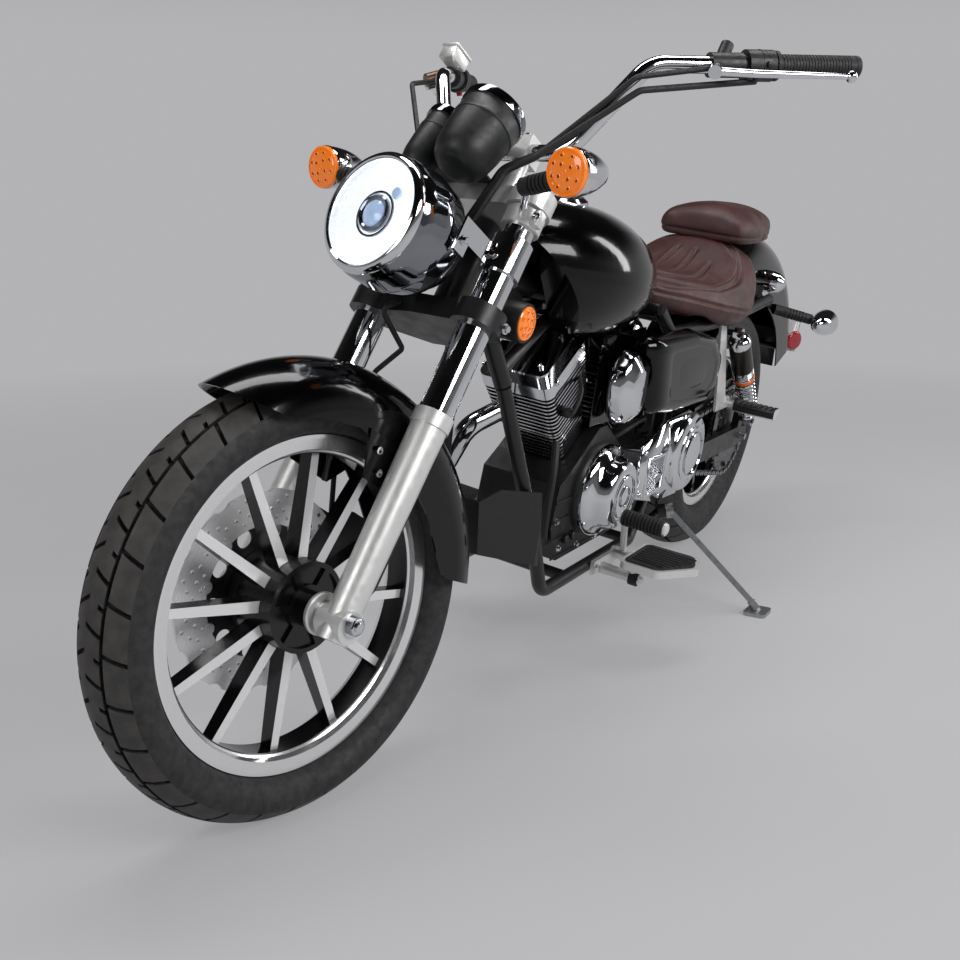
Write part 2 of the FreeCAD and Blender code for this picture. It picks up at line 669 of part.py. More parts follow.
def front_axle():
    head_y = LEG_SPACING + EYE_R
    shaft = rod(Vector(CLAMP_OFFSET, -head_y - 5, 0), Vector(CLAMP_OFFSET, head_y + 7, 0), AXLE_R)
    head = Part.makeCylinder(13, 10, Vector(CLAMP_OFFSET, head_y + GAP, 0), Vector(0, 1, 0))
    spacer = pipe(Vector(CLAMP_OFFSET, BOSS_HALF + 1 + GAP, 0), Vector(CLAMP_OFFSET, EYE_IN - GAP, 0),
                  20, AXLE_R)
    return joined([shaft, head] + both_sides(spacer))


def brake_caliper():
    """Two-piston caliper over the front disc, carried by the right leg."""
    y0, y1 = -(EYE_IN + 2), -44.0
    body = block(-96, -40, y0, y1, 82, 166)
    body = rounded(body, 9, lambda e: abs(e.tangentAt(e.FirstParameter).y) > 0.9)
    slot = block(-120, -20, -FRONT_DISC_Y[1] - 2.5, -FRONT_DISC_Y[0] + 2.5, 60, 200)
    sweep = Part.makeCylinder(FRONT_DISC_R + 2, 60, Vector(CLAMP_OFFSET, -90, 0), Vector(0, 1, 0))
    ear = block(-44, CLAMP_OFFSET - 20, y0, y0 + 8, 100, 150)
    return joined([body.cut(sweep.common(slot)), ear])


def bullet(centre, axis):
    """Bullet lamp with its lens facing along the axis."""
    profile = [(0, -SIGNAL_LENGTH), (9, -82), (20, -66), (29, -38), (SIGNAL_R - 1, -14),
               (SIGNAL_R, 0), (SIGNAL_R - 3, 5), (0, 9)]
    return turned(profile, centre, axis)


def front_signals():
    """Bullet lamps on rubber stalks, clamped to the fork legs."""
    lamp = bullet(FRONT_SIGNAL, Vector(0.82, 0, -0.57))
    stalk = rod(Vector(118, 152, 642), Vector(129, 212, 648), STALK_R)
    arm = rod(Vector(60, 118, 636), Vector(120, 160, 643), 6)
    band = leg_rod(LEG_SPACING, 622, 650, 30)
    one = joined([lamp, stalk, arm, band]).cut(leg_rod(LEG_SPACING, 600, 690, TUBE_UP_R + GAP))
    return Part.makeCompound(both_sides(one))


# ---------------------------------------------------------------- frame
def main_frame():
    """Steering head, web, backbone, seat rails and their studs, as one weldment."""
    head = rod(NECK_LOW, NECK_TOP, HEAD_R)
    web = side_plate([(NECK.x + dx, NECK.z + dz) for dx, dz in
                      [(14, -21), (-71, -94), (-115, -90), (-161, -51), (-31, 34)]],
                     -WEB_HALF, WEB_HALF)
    pieces = [head, web, rod(NECK + Vector(-16, 0, 9), BONE_MID, BACKBONE_R),
              Part.makeSphere(BACKBONE_R, BONE_MID), rod(BONE_MID, BONE_END, BACKBONE_R),
              rod(BONE_END - Vector(0, RAIL_Y, 0), BONE_END + Vector(0, RAIL_Y, 0), CROSS_R),
              rod(Vector(UPRIGHT_X, -RAIL_Y, RAIL_Z), Vector(UPRIGHT_X, RAIL_Y, RAIL_Z), CROSS_R),
              rod(TANK_MOUNT - Vector(0, TUNNEL_HALF - GAP, 0),
                  TANK_MOUNT + Vector(0, TUNNEL_HALF - GAP, 0), 12)]
    for side in (-1, 1):
        joint = Vector(JOINT.x, side * JOINT.y, JOINT.z)
        pieces.append(rod(NECK + Vector(-20, side * 18, -40), joint, TUBE_R))
        pieces.append(rod(joint + Vector(10, -side * 3, 26), BONE_MID + Vector(45, side * 20, -16), 12))
        pieces.append(seat_rail(side))
        pieces.append(rod(Vector(UPRIGHT_X, side * 40, RAIL_Z), Vector(UPRIGHT_X, side * 40, PAN_TOP - GAP),
                          10))
        shock = Vector(SHOCK_TOP.x, side * (RAIL_Y - 4), SHOCK_TOP.z)
        pieces.append(rod(shock + Vector(0, 0, 8), Vector(SHOCK_TOP.x, side * RAIL_Y, RAIL_Z - 5), 12))
        pieces.append(rod(shock, Vector(SHOCK_TOP.x, side * (SHOCK_Y + 12), SHOCK_TOP.z), SHOCK_PIN_R))
        pieces.append(rod(Vector(FENDER_STUD_X, side * (REAR_FENDER_HALF + GAP), RAIL_Z + 20),
                          Vector(FENDER_STUD_X, side * RAIL_Y, RAIL_Z + 20), 8))
    along = (NECK_TOP - NECK_LOW) * 0.3
    return joined(pieces).cut(rod(NECK_LOW - along, NECK_TOP + along, STEM_R + BORE_CLEAR))


def seat_rail(side):
    y = side * RAIL_Y
    return bent_rod([BONE_END + Vector(0, y, 0), Vector(575, y, RAIL_Z - 3), Vector(235, y, RAIL_Z - 5),
                     Vector(-60, y, RAIL_Z + 22)], 60, RAIL_R)


def stand_bracket():
    """Boss and pin for the stand, on an arm from the left rail."""
    c = STAND_PIVOT
    boss = rod(c - STAND_AXIS * 26, c - STAND_AXIS * (STAND_EYE_HALF + 1), STAND_EYE_R - 1)
    pin = rod(c - STAND_AXIS * 26, c + STAND_AXIS * (STAND_EYE_HALF + 2), STAND_PIN_R)
    root = Vector(c.x + 40, CRADLE_Y, CRADLE_Z + 4)
    return joined([boss, pin, taper(root, c - STAND_AXIS * 20, 15, 12)])


def cradle_tube(side):
    """Down the front, under the engine and up behind it."""
    y = side * CRADLE_Y
    up = side * UPRIGHT_Y
    front = Vector(JOINT.x, side * JOINT.y, JOINT.z) + Vector(-1.5, side * 0.5, -4.5)
    return bent_rod([front, Vector(CRADLE_FRONT.x, y, CRADLE_FRONT.z), Vector(985, y, CRADLE_Z),
                     Vector(MOUNT_X[1], y, CRADLE_Z), Vector(UPRIGHT_X + 8, up, 240),
                     Vector(UPRIGHT_X, up, RAIL_Z - 14)], 45, CRADLE_R)


def frame_cradle():
    """Lower frame: both tubes, cross members, pivot plates and the stand's bracket."""
    pieces = [stand_bracket()]
    for side in (-1, 1):
        up = side * UPRIGHT_Y
        pieces.append(cradle_tube(side))
        pieces.append(side_plate([(362, 290), (400, 270), (436, 260), (434, 400), (400, 380), (368, 352)],
                                 up - 9, up + 9))
        pieces.append(rod(Vector(UPRIGHT_X, up, 545), Vector(UPRIGHT_X, side * (COVER_OUT - SKIN - 1 - GAP), 545), 6))
    for x in MOUNT_X:
        pieces.append(rod(Vector(x, -CRADLE_Y, CRADLE_Z), Vector(x, CRADLE_Y, CRADLE_Z), CROSS_R))
    bore = rod(PIVOT - Vector(0, 200, 0), PIVOT + Vector(0, 200, 0), PIVOT_TUBE_R + GAP)
    return joined(pieces).cut(bore).cut(main_frame())


# ---------------------------------------------------------------- engine
def crankcase():
    """Case with two sloped cylinder decks, lugs on the frame and the output sprocket."""
    slope = math.radians(V_HALF_ANGLE)
    up = (math.sin(slope), math.cos(slope))
    half = BARREL_R + 12

    def deck(side, along):
        x = CRANK.x + side * (up[0] * DECK + up[1] * along)
        return (x, CRANK.z + up[1] * DECK - up[0] * along)

    outline = [(560, CASE_FLOOR), (900, CASE_FLOOR), (942, 290), (930, 370), deck(1, half),
               deck(1, -half), deck(-1, -half), deck(-1, half), (540, 398), (505, 380), (500, 280)]
    body = side_plate(outline, -CASE_HALF, CASE_HALF)
    lugs = [block(x - 14, x + 14, -30, 30, CRADLE_Z + CROSS_R + GAP, CASE_FLOOR + 4)
            for x in MOUNT_X]
    boss = rod(Vector(FRONT_SPROCKET.x, 30, FRONT_SPROCKET.z),
               FRONT_SPROCKET - Vector(0, 3, 0), 30)
    gear = rod(FRONT_SPROCKET - Vector(0, 3, 0), FRONT_SPROCKET + Vector(0, 3, 0),
               FRONT_SPROCKET_R - 5)
    return joined([body, boss, gear] + lugs)


def cylinder_frame(sign):
    """Placement whose Z runs up the cylinder and X forward."""
    return Placement(CRANK, Rotation(Vector(0, 1, 0), sign * V_HALF_ANGLE))


def cylinder(sign):
    """Barrel with narrow fins below and the wider head fins above."""
    pieces = [Part.makeCylinder(BARREL_R, HEAD_TOP_Z - DECK, Vector(0, 0, DECK))]
    z = DECK + 6
    for count, (width, depth) in ((BARREL_COUNT, BARREL_FIN), (HEAD_COUNT, HEAD_FIN)):
        for i in range(count):
            grow = 0.90 + 0.10 * (i + 1) / count
            fin = block(-width / 2 * grow, width / 2 * grow, -depth * grow, depth * grow,
                        z, z + FIN_T)
            pieces.append(rounded(fin, 16, upright))
            z += FIN_PITCH
    width, depth = HEAD_FIN
    pieces.append(block(-width * 0.36, width * 0.36, -depth * 0.72, depth * 0.72,
                        HEAD_TOP_Z - HEAD_COUNT * FIN_PITCH, HEAD_TOP_Z))
    shape = joined(pieces)
    shape.Placement = cylinder_frame(sign)
    return shape


def cylinders():
    return Part.makeCompound([cylinder(1), cylinder(-1)])


def rocker_covers():
    out = []
    width, depth = HEAD_FIN
    skirt_rise, crown_rise = COVER_RISE
    for sign in (1, -1):
        low = HEAD_TOP_Z
        skirt = block(-width / 2 - 2, width / 2 + 2, -depth - 2, depth + 2, low, low + skirt_rise)
        crown = block(-width / 2 + 10, width / 2 - 10, -depth + 10, depth - 10,
                      low + skirt_rise - 1, low + skirt_rise + crown_rise)
        cover = joined([rounded(skirt, 18, upright), rounded(crown, 16, upright)])
        cover.Placement = cylinder_frame(sign)
        out.append(cover)
    return Part.makeCompound(out)


def alternator_cover():
    """Stepped cone over the alternator, with a flat round face."""
    profile = [(0, 0), (92, 0), (92, 20), (84, 30), (76, 34), (66, 60), (60, 66), (0, 68)]
    return turned(profile, Vector(CRANK.x, CASE_HALF, CRANK.z), Vector(0, 1, 0))


def clutch_cover():
    big = turned([(0, 0), (96, 0), (96, 24), (84, 36), (70, 50), (0, 54)],
                 Vector(640, -CASE_HALF, CRANK.z), Vector(0, -1, 0))
    small = turned([(0, 0), (60, 0), (60, 22), (48, 34), (0, 36)],
                   Vector(800, -CASE_HALF, CRANK.z - 5), Vector(0, -1, 0))
    return joined([big, small])


def sprocket_cover():
    """Flat cover over the output sprocket with a framed recess and a round dome."""
    inner = ARM_OUT + 3
    face = inner + 8
    outline = [(345, 290), (440, 262), (560, 270), (672, 300), (672, 408), (560, 448), (440, 452),
               (360, 420)]
    body = side_plate(outline, inner, face)
    recess = block(548, 628, face - 3, face + 1, 300, 372)
    frame = block(540, 636, inner + 1, face + 3, 292, 380)
    rim_wall = side_plate([(560, 275), (672, 302), (672, 394), (560, 394)], CASE_HALF, inner)
    dome = turned([(0, 0), (88, 0), (88, 8), (80, 16), (64, 16), (58, 20), (30, 26), (0, 27)],
                  Vector(436, face, 358), Vector(0, 1, 0))
    return joined([body, frame, rim_wall, dome]).cut(recess.fuse(block(548, 628, face, face + 4, 300, 372)))


def intake_cover():
    """Faceted chrome oval on the intake, between the cylinders."""
    x = CRANK.x - 6
    hub = Vector(CRANK.x, 0, INTAKE_Z)
    stem = rod(hub, hub + Vector(0, 94, 0), 16)
    runner = rod(hub - Vector(56, 0, 0), hub + Vector(56, 0, 0), 16)
    rings = [elliptic(x, y, INTAKE_Z - drop, half_x, half_z) for y, drop, half_x, half_z in
             ((92, 0, 50, 66), (102, 0, 56, 73), (124, 1, 50, 66), (142, 4, 28, 42))]
    return joined([stem, runner, Part.makeLoft(rings, True, True)]).cut(cylinders())


def engine_covers():
    return Part.makeCompound([alternator_cover(), clutch_cover(), sprocket_cover(), intake_cover()])


def exhaust_pipes():
    front = bent_rod([Vector(985, -30, 500), Vector(1050, -60, 470), Vector(1030, -142, 300),
                      Vector(900, -150, 214), LOW_SILENCER - Vector(20, 0, 0)], 40, EXHAUST_R)
    rear = bent_rod([Vector(590, -40, 510), Vector(535, -50, 430), Vector(520, -165, 385),
                     HIGH_SILENCER - Vector(20, 0, 0)], 30, EXHAUST_R)
    return Part.makeCompound([front, rear]).cut(cylinders())


def silencers():
    low = turned([(0, 0), (24, 0), (36, 70), (38, 560), (34, 640), (28, 645), (0, 645)],
                 LOW_SILENCER, Vector(-1, 0, 0))
    high = turned([(0, 0), (24, 0), (34, 60), (36, 520), (32, 590), (28, 594), (0, 594)],
                  HIGH_SILENCER, Vector(-1, 0, 0))
    return Part.makeCompound([low, high]).cut(exhaust_pipes())


# ---------------------------------------------------------------- bodywork
def section_wire(x, zb, zt, wb, w, zw):
    """Closed section at x: flat bottom, bulged sides, arched top."""
    a = Vector(x, -wb, zb)
    b = Vector(x, wb, zb)
    s = math.sqrt(0.5)
    up = zt - zw
    shoulder_r = Vector(x, w * s, zw + up * s)
    shoulder_l = Vector(x, -w * s, zw + up * s)
    right = Part.Arc(b, Vector(x, w, zw), shoulder_r).toShape()
    top = Part.Arc(shoulder_r, Vector(x, 0, zt), shoulder_l).toShape()
    left = Part.Arc(shoulder_l, Vector(x, -w, zw), a).toShape()
    return Part.Wire([Part.LineSegment(a, b).toShape(), right, top, left])


def fuel_tank():
    """Teardrop tank over the backbone, its nose cut back above the front cylinder."""
    nose = NECK.x - 111
    rows = [(nose, 738, 828, 30, 48, 782), (nose - 50, 690, 857, 58, 94, 768),
            (930, 650, 872, 88, 145, 758), (780, 650, 852, 80, 136, 742),
            (TANK_REAR, 676, 757, 40, 78, 710)]
    tank = Part.makeLoft([section_wire(*row) for row in rows], True, False)
    chin = side_plate([(nose - 141, 640), (nose + 10, 850), (nose + 60, 850), (nose + 60, 600),
                       (nose - 141, 600)], -200, 200)
    tunnel = side_plate([(NECK.x - 21, 600), (NECK.x - 21, 812), (nose - 10, 786), (880, 731),
                         (620, 703), (620, 600)], -TUNNEL_HALF, TUNNEL_HALF)
    mount = rod(BONE_END - Vector(0, 200, 0), BONE_END + Vector(0, 200, 0), CROSS_R + 2)
    pocket = block(570, 975, -80, 80, 600, 668)
    return tank.cut(joined([tunnel, mount, pocket, chin]))


def tank_cap():
    """Round filler cap, seated on the tank's crown."""
    cap = turned([(0, 0), (34, 0), (34, 13), (26, 19), (0, 20)], Vector(900, 0, 860),
                 Vector(0.12, 0, 1))
    return cap.cut(fuel_tank())


def seat():
    cushion = Part.makeLoft([section_wire(*row) for row in SEAT_SECTIONS], True, False)
    return cushion.cut(block(0, 480, -PAN_HALF, PAN_HALF, 600, PAN_TOP))


def pillion_pad():
    pad = Part.makeLoft([section_wire(*row) for row in PILLION_SECTIONS], True, False)
    return pad.cut(fender_envelope())


def side_covers():
    """Bulged cover under the seat with a flat panel forward of it, each side."""
    middle = Vector(520, 0, 550)
    outline = [(748, 638), (700, 482), (600, 468), (376, 460), (322, 496), (318, 560), (384, 610),
               (520, 636)]
    rings = []
    for y, scale in ((COVER_IN, 1.0), (COVER_IN + 12, 0.97), (COVER_OUT, 0.62)):
        points = [middle + (Vector(x, 0, z) - middle) * scale + Vector(0, y, 0) for x, z in outline]
        rings.append(smooth_outline(points, 24 * scale))
    bulge = Part.makeLoft(rings, True, False)
    hollow = bulge.copy()
    hollow.translate(Vector(0, -SKIN - 1, 0))
    panel = side_plate([(840, 640), (838, 560), (790, 466), (640, 466), (640, 640)],
                       PANEL_Y, PANEL_Y + SKIN)
    wall = side_plate([(693, 480), (699, 480), (747, 637), (741, 637)], PANEL_Y, COVER_IN + 7)
    one = joined([bulge.cut(hollow), panel, wall])
    return Part.makeCompound(both_sides(one.cut(intake_room())))


def intake_room():
    """Room that the side cover leaves round the intake's oval and its stem."""
    hub = Vector(CRANK.x, PANEL_Y - 10, INTAKE_Z)
    oval = elliptic(CRANK.x - 6, PANEL_Y + SKIN + 2, INTAKE_Z, 59, 77)
    return rod(hub, hub + Vector(0, 30, 0), 16 + GAP).fuse(Part.Face(oval).extrude(Vector(0, 90, 0)))


def arch_section(outer, half, drop, low):
    """Fender section in the plane X = 0: a rolled crown over straight side skirts."""
    thin = half - SKIN
    edge = outer - drop

    def p(y, r):
        return Vector(0, y, r)

    def line(a, b):
        return Part.LineSegment(a, b).toShape()

    edges = [
        line(p(half, low), p(half, edge)),
        Part.Arc(p(half, edge), p(0, outer), p(-half, edge)).toShape(),
        line(p(-half, edge), p(-half, low)),
        line(p(-half, low), p(-thin, low)),
        line(p(-thin, low), p(-thin, edge)),
        Part.Arc(p(-thin, edge), p(0, outer - SKIN), p(thin, edge)).toShape(),
        line(p(thin, edge), p(thin, low)),
        line(p(thin, low), p(half, low)),
    ]
    return Part.Face(Part.Wire(edges))


def arch(centre, outer, half, drop, low, back, front):
    """Fender about the Y axis through centre, from back to front degrees off vertical."""
    face = arch_section(outer, half, drop, low)
    face.rotate(Vector(0, 0, 0), Vector(0, 1, 0), -back)
    shell = face.revolve(Vector(0, 0, 0), Vector(0, 1, 0), back + front)
    shell.translate(centre)
    return shell


def rear_fender():
    """Outer fender with deep skirts, and the splash shield before the tyre."""
    back, front = REAR_FENDER_SPAN
    outer = arch(REAR_FENDER_C, REAR_FENDER_R, REAR_FENDER_HALF, REAR_FENDER_HALF,
                 REAR_FENDER_LOW, back, front)
    inner = arch(INNER_FENDER_C, INNER_FENDER_R, REAR_FENDER_HALF - 1, 25,
                 INNER_FENDER_R - 40, 0, 70)
    return joined([outer, inner])


def fender_envelope():
    """Solid that fills the outer fender, a little larger, for what rests on it."""
    back, front = REAR_FENDER_SPAN
    r = REAR_FENDER_HALF + GAP
    edge = REAR_FENDER_R - REAR_FENDER_HALF
    face = Part.Face(Part.Wire([
        Part.Arc(Vector(0, r, edge), Vector(0, 0, edge + r), Vector(0, -r, edge)).toShape(),
        Part.LineSegment(Vector(0, -r, edge), Vector(0, -r, 200)).toShape(),
        Part.LineSegment(Vector(0, -r, 200), Vector(0, r, 200)).toShape(),
        Part.LineSegment(Vector(0, r, 200), Vector(0, r, edge)).toShape()]))
    face.rotate(Vector(0, 0, 0), Vector(0, 1, 0), -back)
    body = face.revolve(Vector(0, 0, 0), Vector(0, 1, 0), back + front + 2)
    body.translate(REAR_FENDER_C)
    return body


def on_fender(angle, rise):
    """Point on the rear fender's crown, degrees back from its top."""
    turn = math.radians(angle)
    r = REAR_FENDER_R + rise
    return REAR_FENDER_C + Vector(-r * math.sin(turn), 0, r * math.cos(turn))


def tail_lamp():
    foot = on_fender(56, -2)
    out = (on_fender(56, 0) - REAR_FENDER_C).normalize()
    lamp = turned([(0, 0), (40, 0), (40, 20), (34, 32), (18, 38), (0, 39)], foot, out)
    return lamp.cut(rear_fender())


def plate_bracket():
    """Blank plate on an arm from a cross stud and a flap inside the fender's tail."""
    x = PLATE_X
    plate = block(x - PLATE, x, -PLATE_HALF, PLATE_HALF, *PLATE_Z)
    for y in (-PLATE_HOLE_Y, PLATE_HOLE_Y):
        plate = plate.cut(rod(Vector(x - 20, y, PLATE_HOLE_Z), Vector(x + 20, y, PLATE_HOLE_Z),
                              PLATE_HOLE_R))
    stud = on_fender(64, -110)
    reach = Vector(0, REAR_FENDER_HALF - SKIN, 0)
    arm = block(x - 1, stud.x + 8, -20, 20, stud.z - 8, stud.z + 8)
    flap = side_plate([(stud.x - 42, stud.z + 40), (stud.x - 62, 424), (stud.x - 66, 424),
                       (stud.x - 46, stud.z + 40)], -47, 47)
    stay = rod(Vector(x - 1, 68, REFLECTOR_Z), Vector(x + 18, 77, REFLECTOR_Z), 6)
    parts = [plate, flap, arm, rod(stud - reach, stud + reach, 8)] + both_sides(stay)
    return joined(parts).cut(rear_fender())


def rear_reflectors():
    lens = turned([(0, 0), (27, 0), (27, 4), (24, 7), (0, 8)], Vector(PLATE_X + 16, 79, REFLECTOR_Z),
                  Vector(0.45, 0.89, 0))
    return Part.makeCompound(both_sides(lens)).cut(plate_bracket())


def strut_caps():
    """Chrome domes on the fender struts, above the seat rails' ends."""
    y = REAR_FENDER_HALF + GAP
    x = FENDER_STUD_X - 30
    z = RAIL_Z + 64
    strut = side_plate([(x - 22, z - 44), (x + 30, z - 44), (x + 20, z + 18), (x - 20, z + 18)],
                       y, RAIL_Y - RAIL_R - GAP)
    dome = turned([(0, 0), (27, 0), (27, 22), (23, 38), (13, 50), (0, 54)], Vector(x, y, z),
                  Vector(0, 1, 0))
    return Part.makeCompound(both_sides(joined([strut, dome]))).cut(main_frame())


def rear_signals():
    lamp = bullet(REAR_SIGNAL, Vector(-1, 0, 0))
    stalk = rod(Vector(-205, REAR_FENDER_HALF + GAP, 612), REAR_SIGNAL + Vector(27, -32, 3), STALK_R)
    one = joined([lamp, stalk]).cut(fender_envelope())
    return Part.makeCompound(both_sides(one))


# ---------------------------------------------------------------- rear suspension
def swingarm():
    """Two flat-sided arms on the pivot tube, with axle eyes and shock lugs."""
    arms = []
    z = REAR_TYRE_R
    for side in (-1, 1):
        y0, y1 = sorted((side * ARM_IN, side * ARM_OUT))
        arms.append(side_plate([(-45, z - 17), (-45, z + 17), (30, z + 25), (420, 344), (424, 300),
                                (380, 298), (30, z - 25)], y0, y1))
        arms.append(side_plate([(SHOCK_LOW.x - 17, z + 15), (SHOCK_LOW.x + 17, z + 15),
                                (SHOCK_LOW.x + 11, SHOCK_LOW.z + 14),
                                (SHOCK_LOW.x - 11, SHOCK_LOW.z + 14)], y0, y1))
        arms.append(rod(Vector(SHOCK_LOW.x, side * (ARM_OUT - 4), SHOCK_LOW.z),
                        Vector(SHOCK_LOW.x, side * (SHOCK_Y + 12), SHOCK_LOW.z), SHOCK_PIN_R))
    tube = rod(PIVOT - Vector(0, ARM_OUT, 0), PIVOT + Vector(0, ARM_OUT, 0), PIVOT_TUBE_R)
    axle = rod(Vector(0, -200, REAR_TYRE_R), Vector(0, 200, REAR_TYRE_R), AXLE_R + GAP)
    return joined(arms + [tube]).cut(axle)


def rear_axle():
    return rod(Vector(0, -136, REAR_TYRE_R), Vector(0, 136, REAR_TYRE_R), AXLE_R)


def rear_shocks():
    length = (SHOCK_LOW - SHOCK_TOP).Length
    body = turned([(0, 9), (20, 9), (26, 22), (26, 150), (22, 154), (22, length - 30), (9, length - 26),
                   (9, length - 8), (0, length - 8)], SHOCK_TOP, SHOCK_LOW - SHOCK_TOP)
    eyes = [rod(p - Vector(0, 8, 0), p + Vector(0, 8, 0), 14) for p in (SHOCK_TOP, SHOCK_LOW)]
    one = joined([body] + eyes)
    for p in (SHOCK_TOP, SHOCK_LOW):
        one = one.cut(rod(p - Vector(0, 40, 0), p + Vector(0, 40, 0), SHOCK_PIN_R + GAP))
    return Part.makeCompound(both_sides(one))


def rear_caliper():
    """Caliper over the top of the rear disc, on the right arm."""
    top = REAR_TYRE_R + REAR_DISC_R
    y0, y1 = REAR_DISC_Y
    body = block(-26, 44, -95, -64, top - 39, top + 13)
    body = body.cut(block(-40, 60, -y1 - 3, -y0 + 4, top - 135, top + 3))
    ear = block(0, 30, -ARM_IN, -90, REAR_TYRE_R + 27, top - 15)
    return joined([body, ear])


def chain_loop(offset, half_w):
    """Belt-like loop around both sprockets, offset from the pitch line."""
    c1 = Vector(0, CHAIN_Y - half_w, REAR_TYRE_R)
    c2 = Vector(FRONT_SPROCKET.x, CHAIN_Y - half_w, FRONT_SPROCKET.z)
    r1 = REAR_SPROCKET_R + offset
    r2 = FRONT_SPROCKET_R + offset
    d = c2 - c1
    base = math.atan2(d.z, d.x)
    side = math.acos((r1 - r2) / d.Length)

    def at(c, r, angle):
        return c + Vector(r * math.cos(angle), 0, r * math.sin(angle))

    up = base + side
    down = base - side
    edges = [
        Part.LineSegment(at(c1, r1, up), at(c2, r2, up)).toShape(),
        Part.Arc(at(c2, r2, up), at(c2, r2, base), at(c2, r2, down)).toShape(),
        Part.LineSegment(at(c2, r2, down), at(c1, r1, down)).toShape(),
        Part.Arc(at(c1, r1, down), at(c1, r1, base + math.pi), at(c1, r1, up)).toShape(),
    ]
    return Part.Face(Part.Wire(edges)).extrude(Vector(0, 2 * half_w, 0))


def drive_chain():
    return chain_loop(7.5, 7).cut(chain_loop(-4.5, 20))


def chain_guard():
    guard = side_plate([(-60, 446), (40, 456), (330, 432), (330, 424), (40, 446), (-60, 436)],
                       CHAIN_Y - 12, CHAIN_Y + 13)
    tab = block(150, 176, ARM_IN, ARM_IN + 4, 341.5, 446)
    tab = tab.cut(swingarm())
    return joined([guard, tab])


# ---------------------------------------------------------------- controls and stand
def control_bracket(side):
    """Forged bracket on the lower rail with a broad foot pad."""
    y = CRADLE_Y + CRADLE_R + GAP

    def p(x, out, z):
        return Vector(x, side * out, z)

    plate = side_plate([(680, 196), (800, 196), (800, 168), (680, 168)],
                       *sorted((side * y, side * (y + 8))))
    arm = taper(p(770, y, 178), p(770, 196, 178), 12, 10)
    brace = rod(p(700, y + 4, 190), p(756, 196, PAD_Z - 2), 8)
    post = rod(p(770, 190, 174), p(770, 196, PAD_Z + 2), 10)
    corners = [p(696, 180, PAD_Z), p(832, 180, PAD_Z), p(828, 262, PAD_Z), p(748, 314, PAD_Z),
               p(690, 292, PAD_Z)]
    pad = Part.Face(smooth_outline(corners, 16)).extrude(Vector(0, 0, 14))
    return [plate, arm, post, pad] + ([brace] if side > 0 else [])


def foot_controls():
    """Left bracket with the shift lever, right bracket with the brake pedal."""
    y = CRADLE_Y + CRADLE_R + GAP
    lever = [rod(Vector(700, y, 190), Vector(700, y + 30, 190), 12),
             rod(Vector(700, y + 24, 190), Vector(800, 168, 300), 6.5),
             Part.makeSphere(6.5, Vector(800, 168, 300)),
             rod(Vector(800, 160, 304), Vector(800, 250, 304), 13)]
    pedal = [rod(Vector(770, -204, 178), Vector(904, -204, 230), 7),
             rod(Vector(770, -188, 178), Vector(770, -212, 178), 12),
             block(884, 926, -246, -190, 228, 242)]
    return Part.makeCompound([joined(control_bracket(1) + lever), joined(control_bracket(-1) + pedal)])


def passenger_pegs():
    """Hangers from the seat rails and broad ribbed rubber pegs."""
    y = RAIL_Y + RAIL_R - 1
    hanger = side_plate([(318, 632), (285, 632), (190, 446), (158, 440), (160, 414), (240, 414)],
                        y, y + 6).cut(main_frame())
    shaft = rod(Vector(180, y + 2, 428), Vector(180, 160, 428), 9)
    rubber = rounded(block(158, 202, 150, 248, 415, 441), 9,
                     lambda e: abs(e.tangentAt(e.FirstParameter).y) > 0.9)
    for i in range(7):
        rubber = rubber.cut(block(150, 210, 161 + 12 * i, 166 + 12 * i, 437.5, 445))
    return Part.makeCompound(both_sides(joined([hanger, shaft, rubber])))


def belly_panel():
    """Chin panel under the down tubes, tapering to a blunt nose."""
    y = CRADLE_Y + CRADLE_R + GAP
    x = CRADLE_FRONT.x

    def shell(grow, tail):
        side = side_plate([(x - 5 - tail, 258 - grow / 2 - tail), (x + 127 + grow, 300),
                           (x + 137 + grow, 395), (x + 100, 412 + tail), (x + 16 - tail, 398 + tail)],
                          -y - grow, y + grow)
        plan = [Vector(x - 150, -y - grow, 0), Vector(x + 10, -y - grow, 0),
                Vector(x + 137 + grow, -59 - grow, 0), Vector(x + 137 + grow, 59 + grow, 0),
                Vector(x + 10, y + grow, 0), Vector(x - 150, y + grow, 0)]
        return side.common(prism(plan, Vector(0, 0, 600)))

    return shell(SKIN, 0).cut(shell(0, 40))


def neck_lamps():
    """Round amber side lamps in cups on the frame's web."""
    cup = [(0, 0), (33, 0), (33, 52), (28, 56), (0, 58)]
    body = turned(cup, Vector(NECK.x - 87, WEB_HALF, NECK.z - 77), Vector(0, 1, 0))
    return Part.makeCompound(both_sides(body)).cut(main_frame())


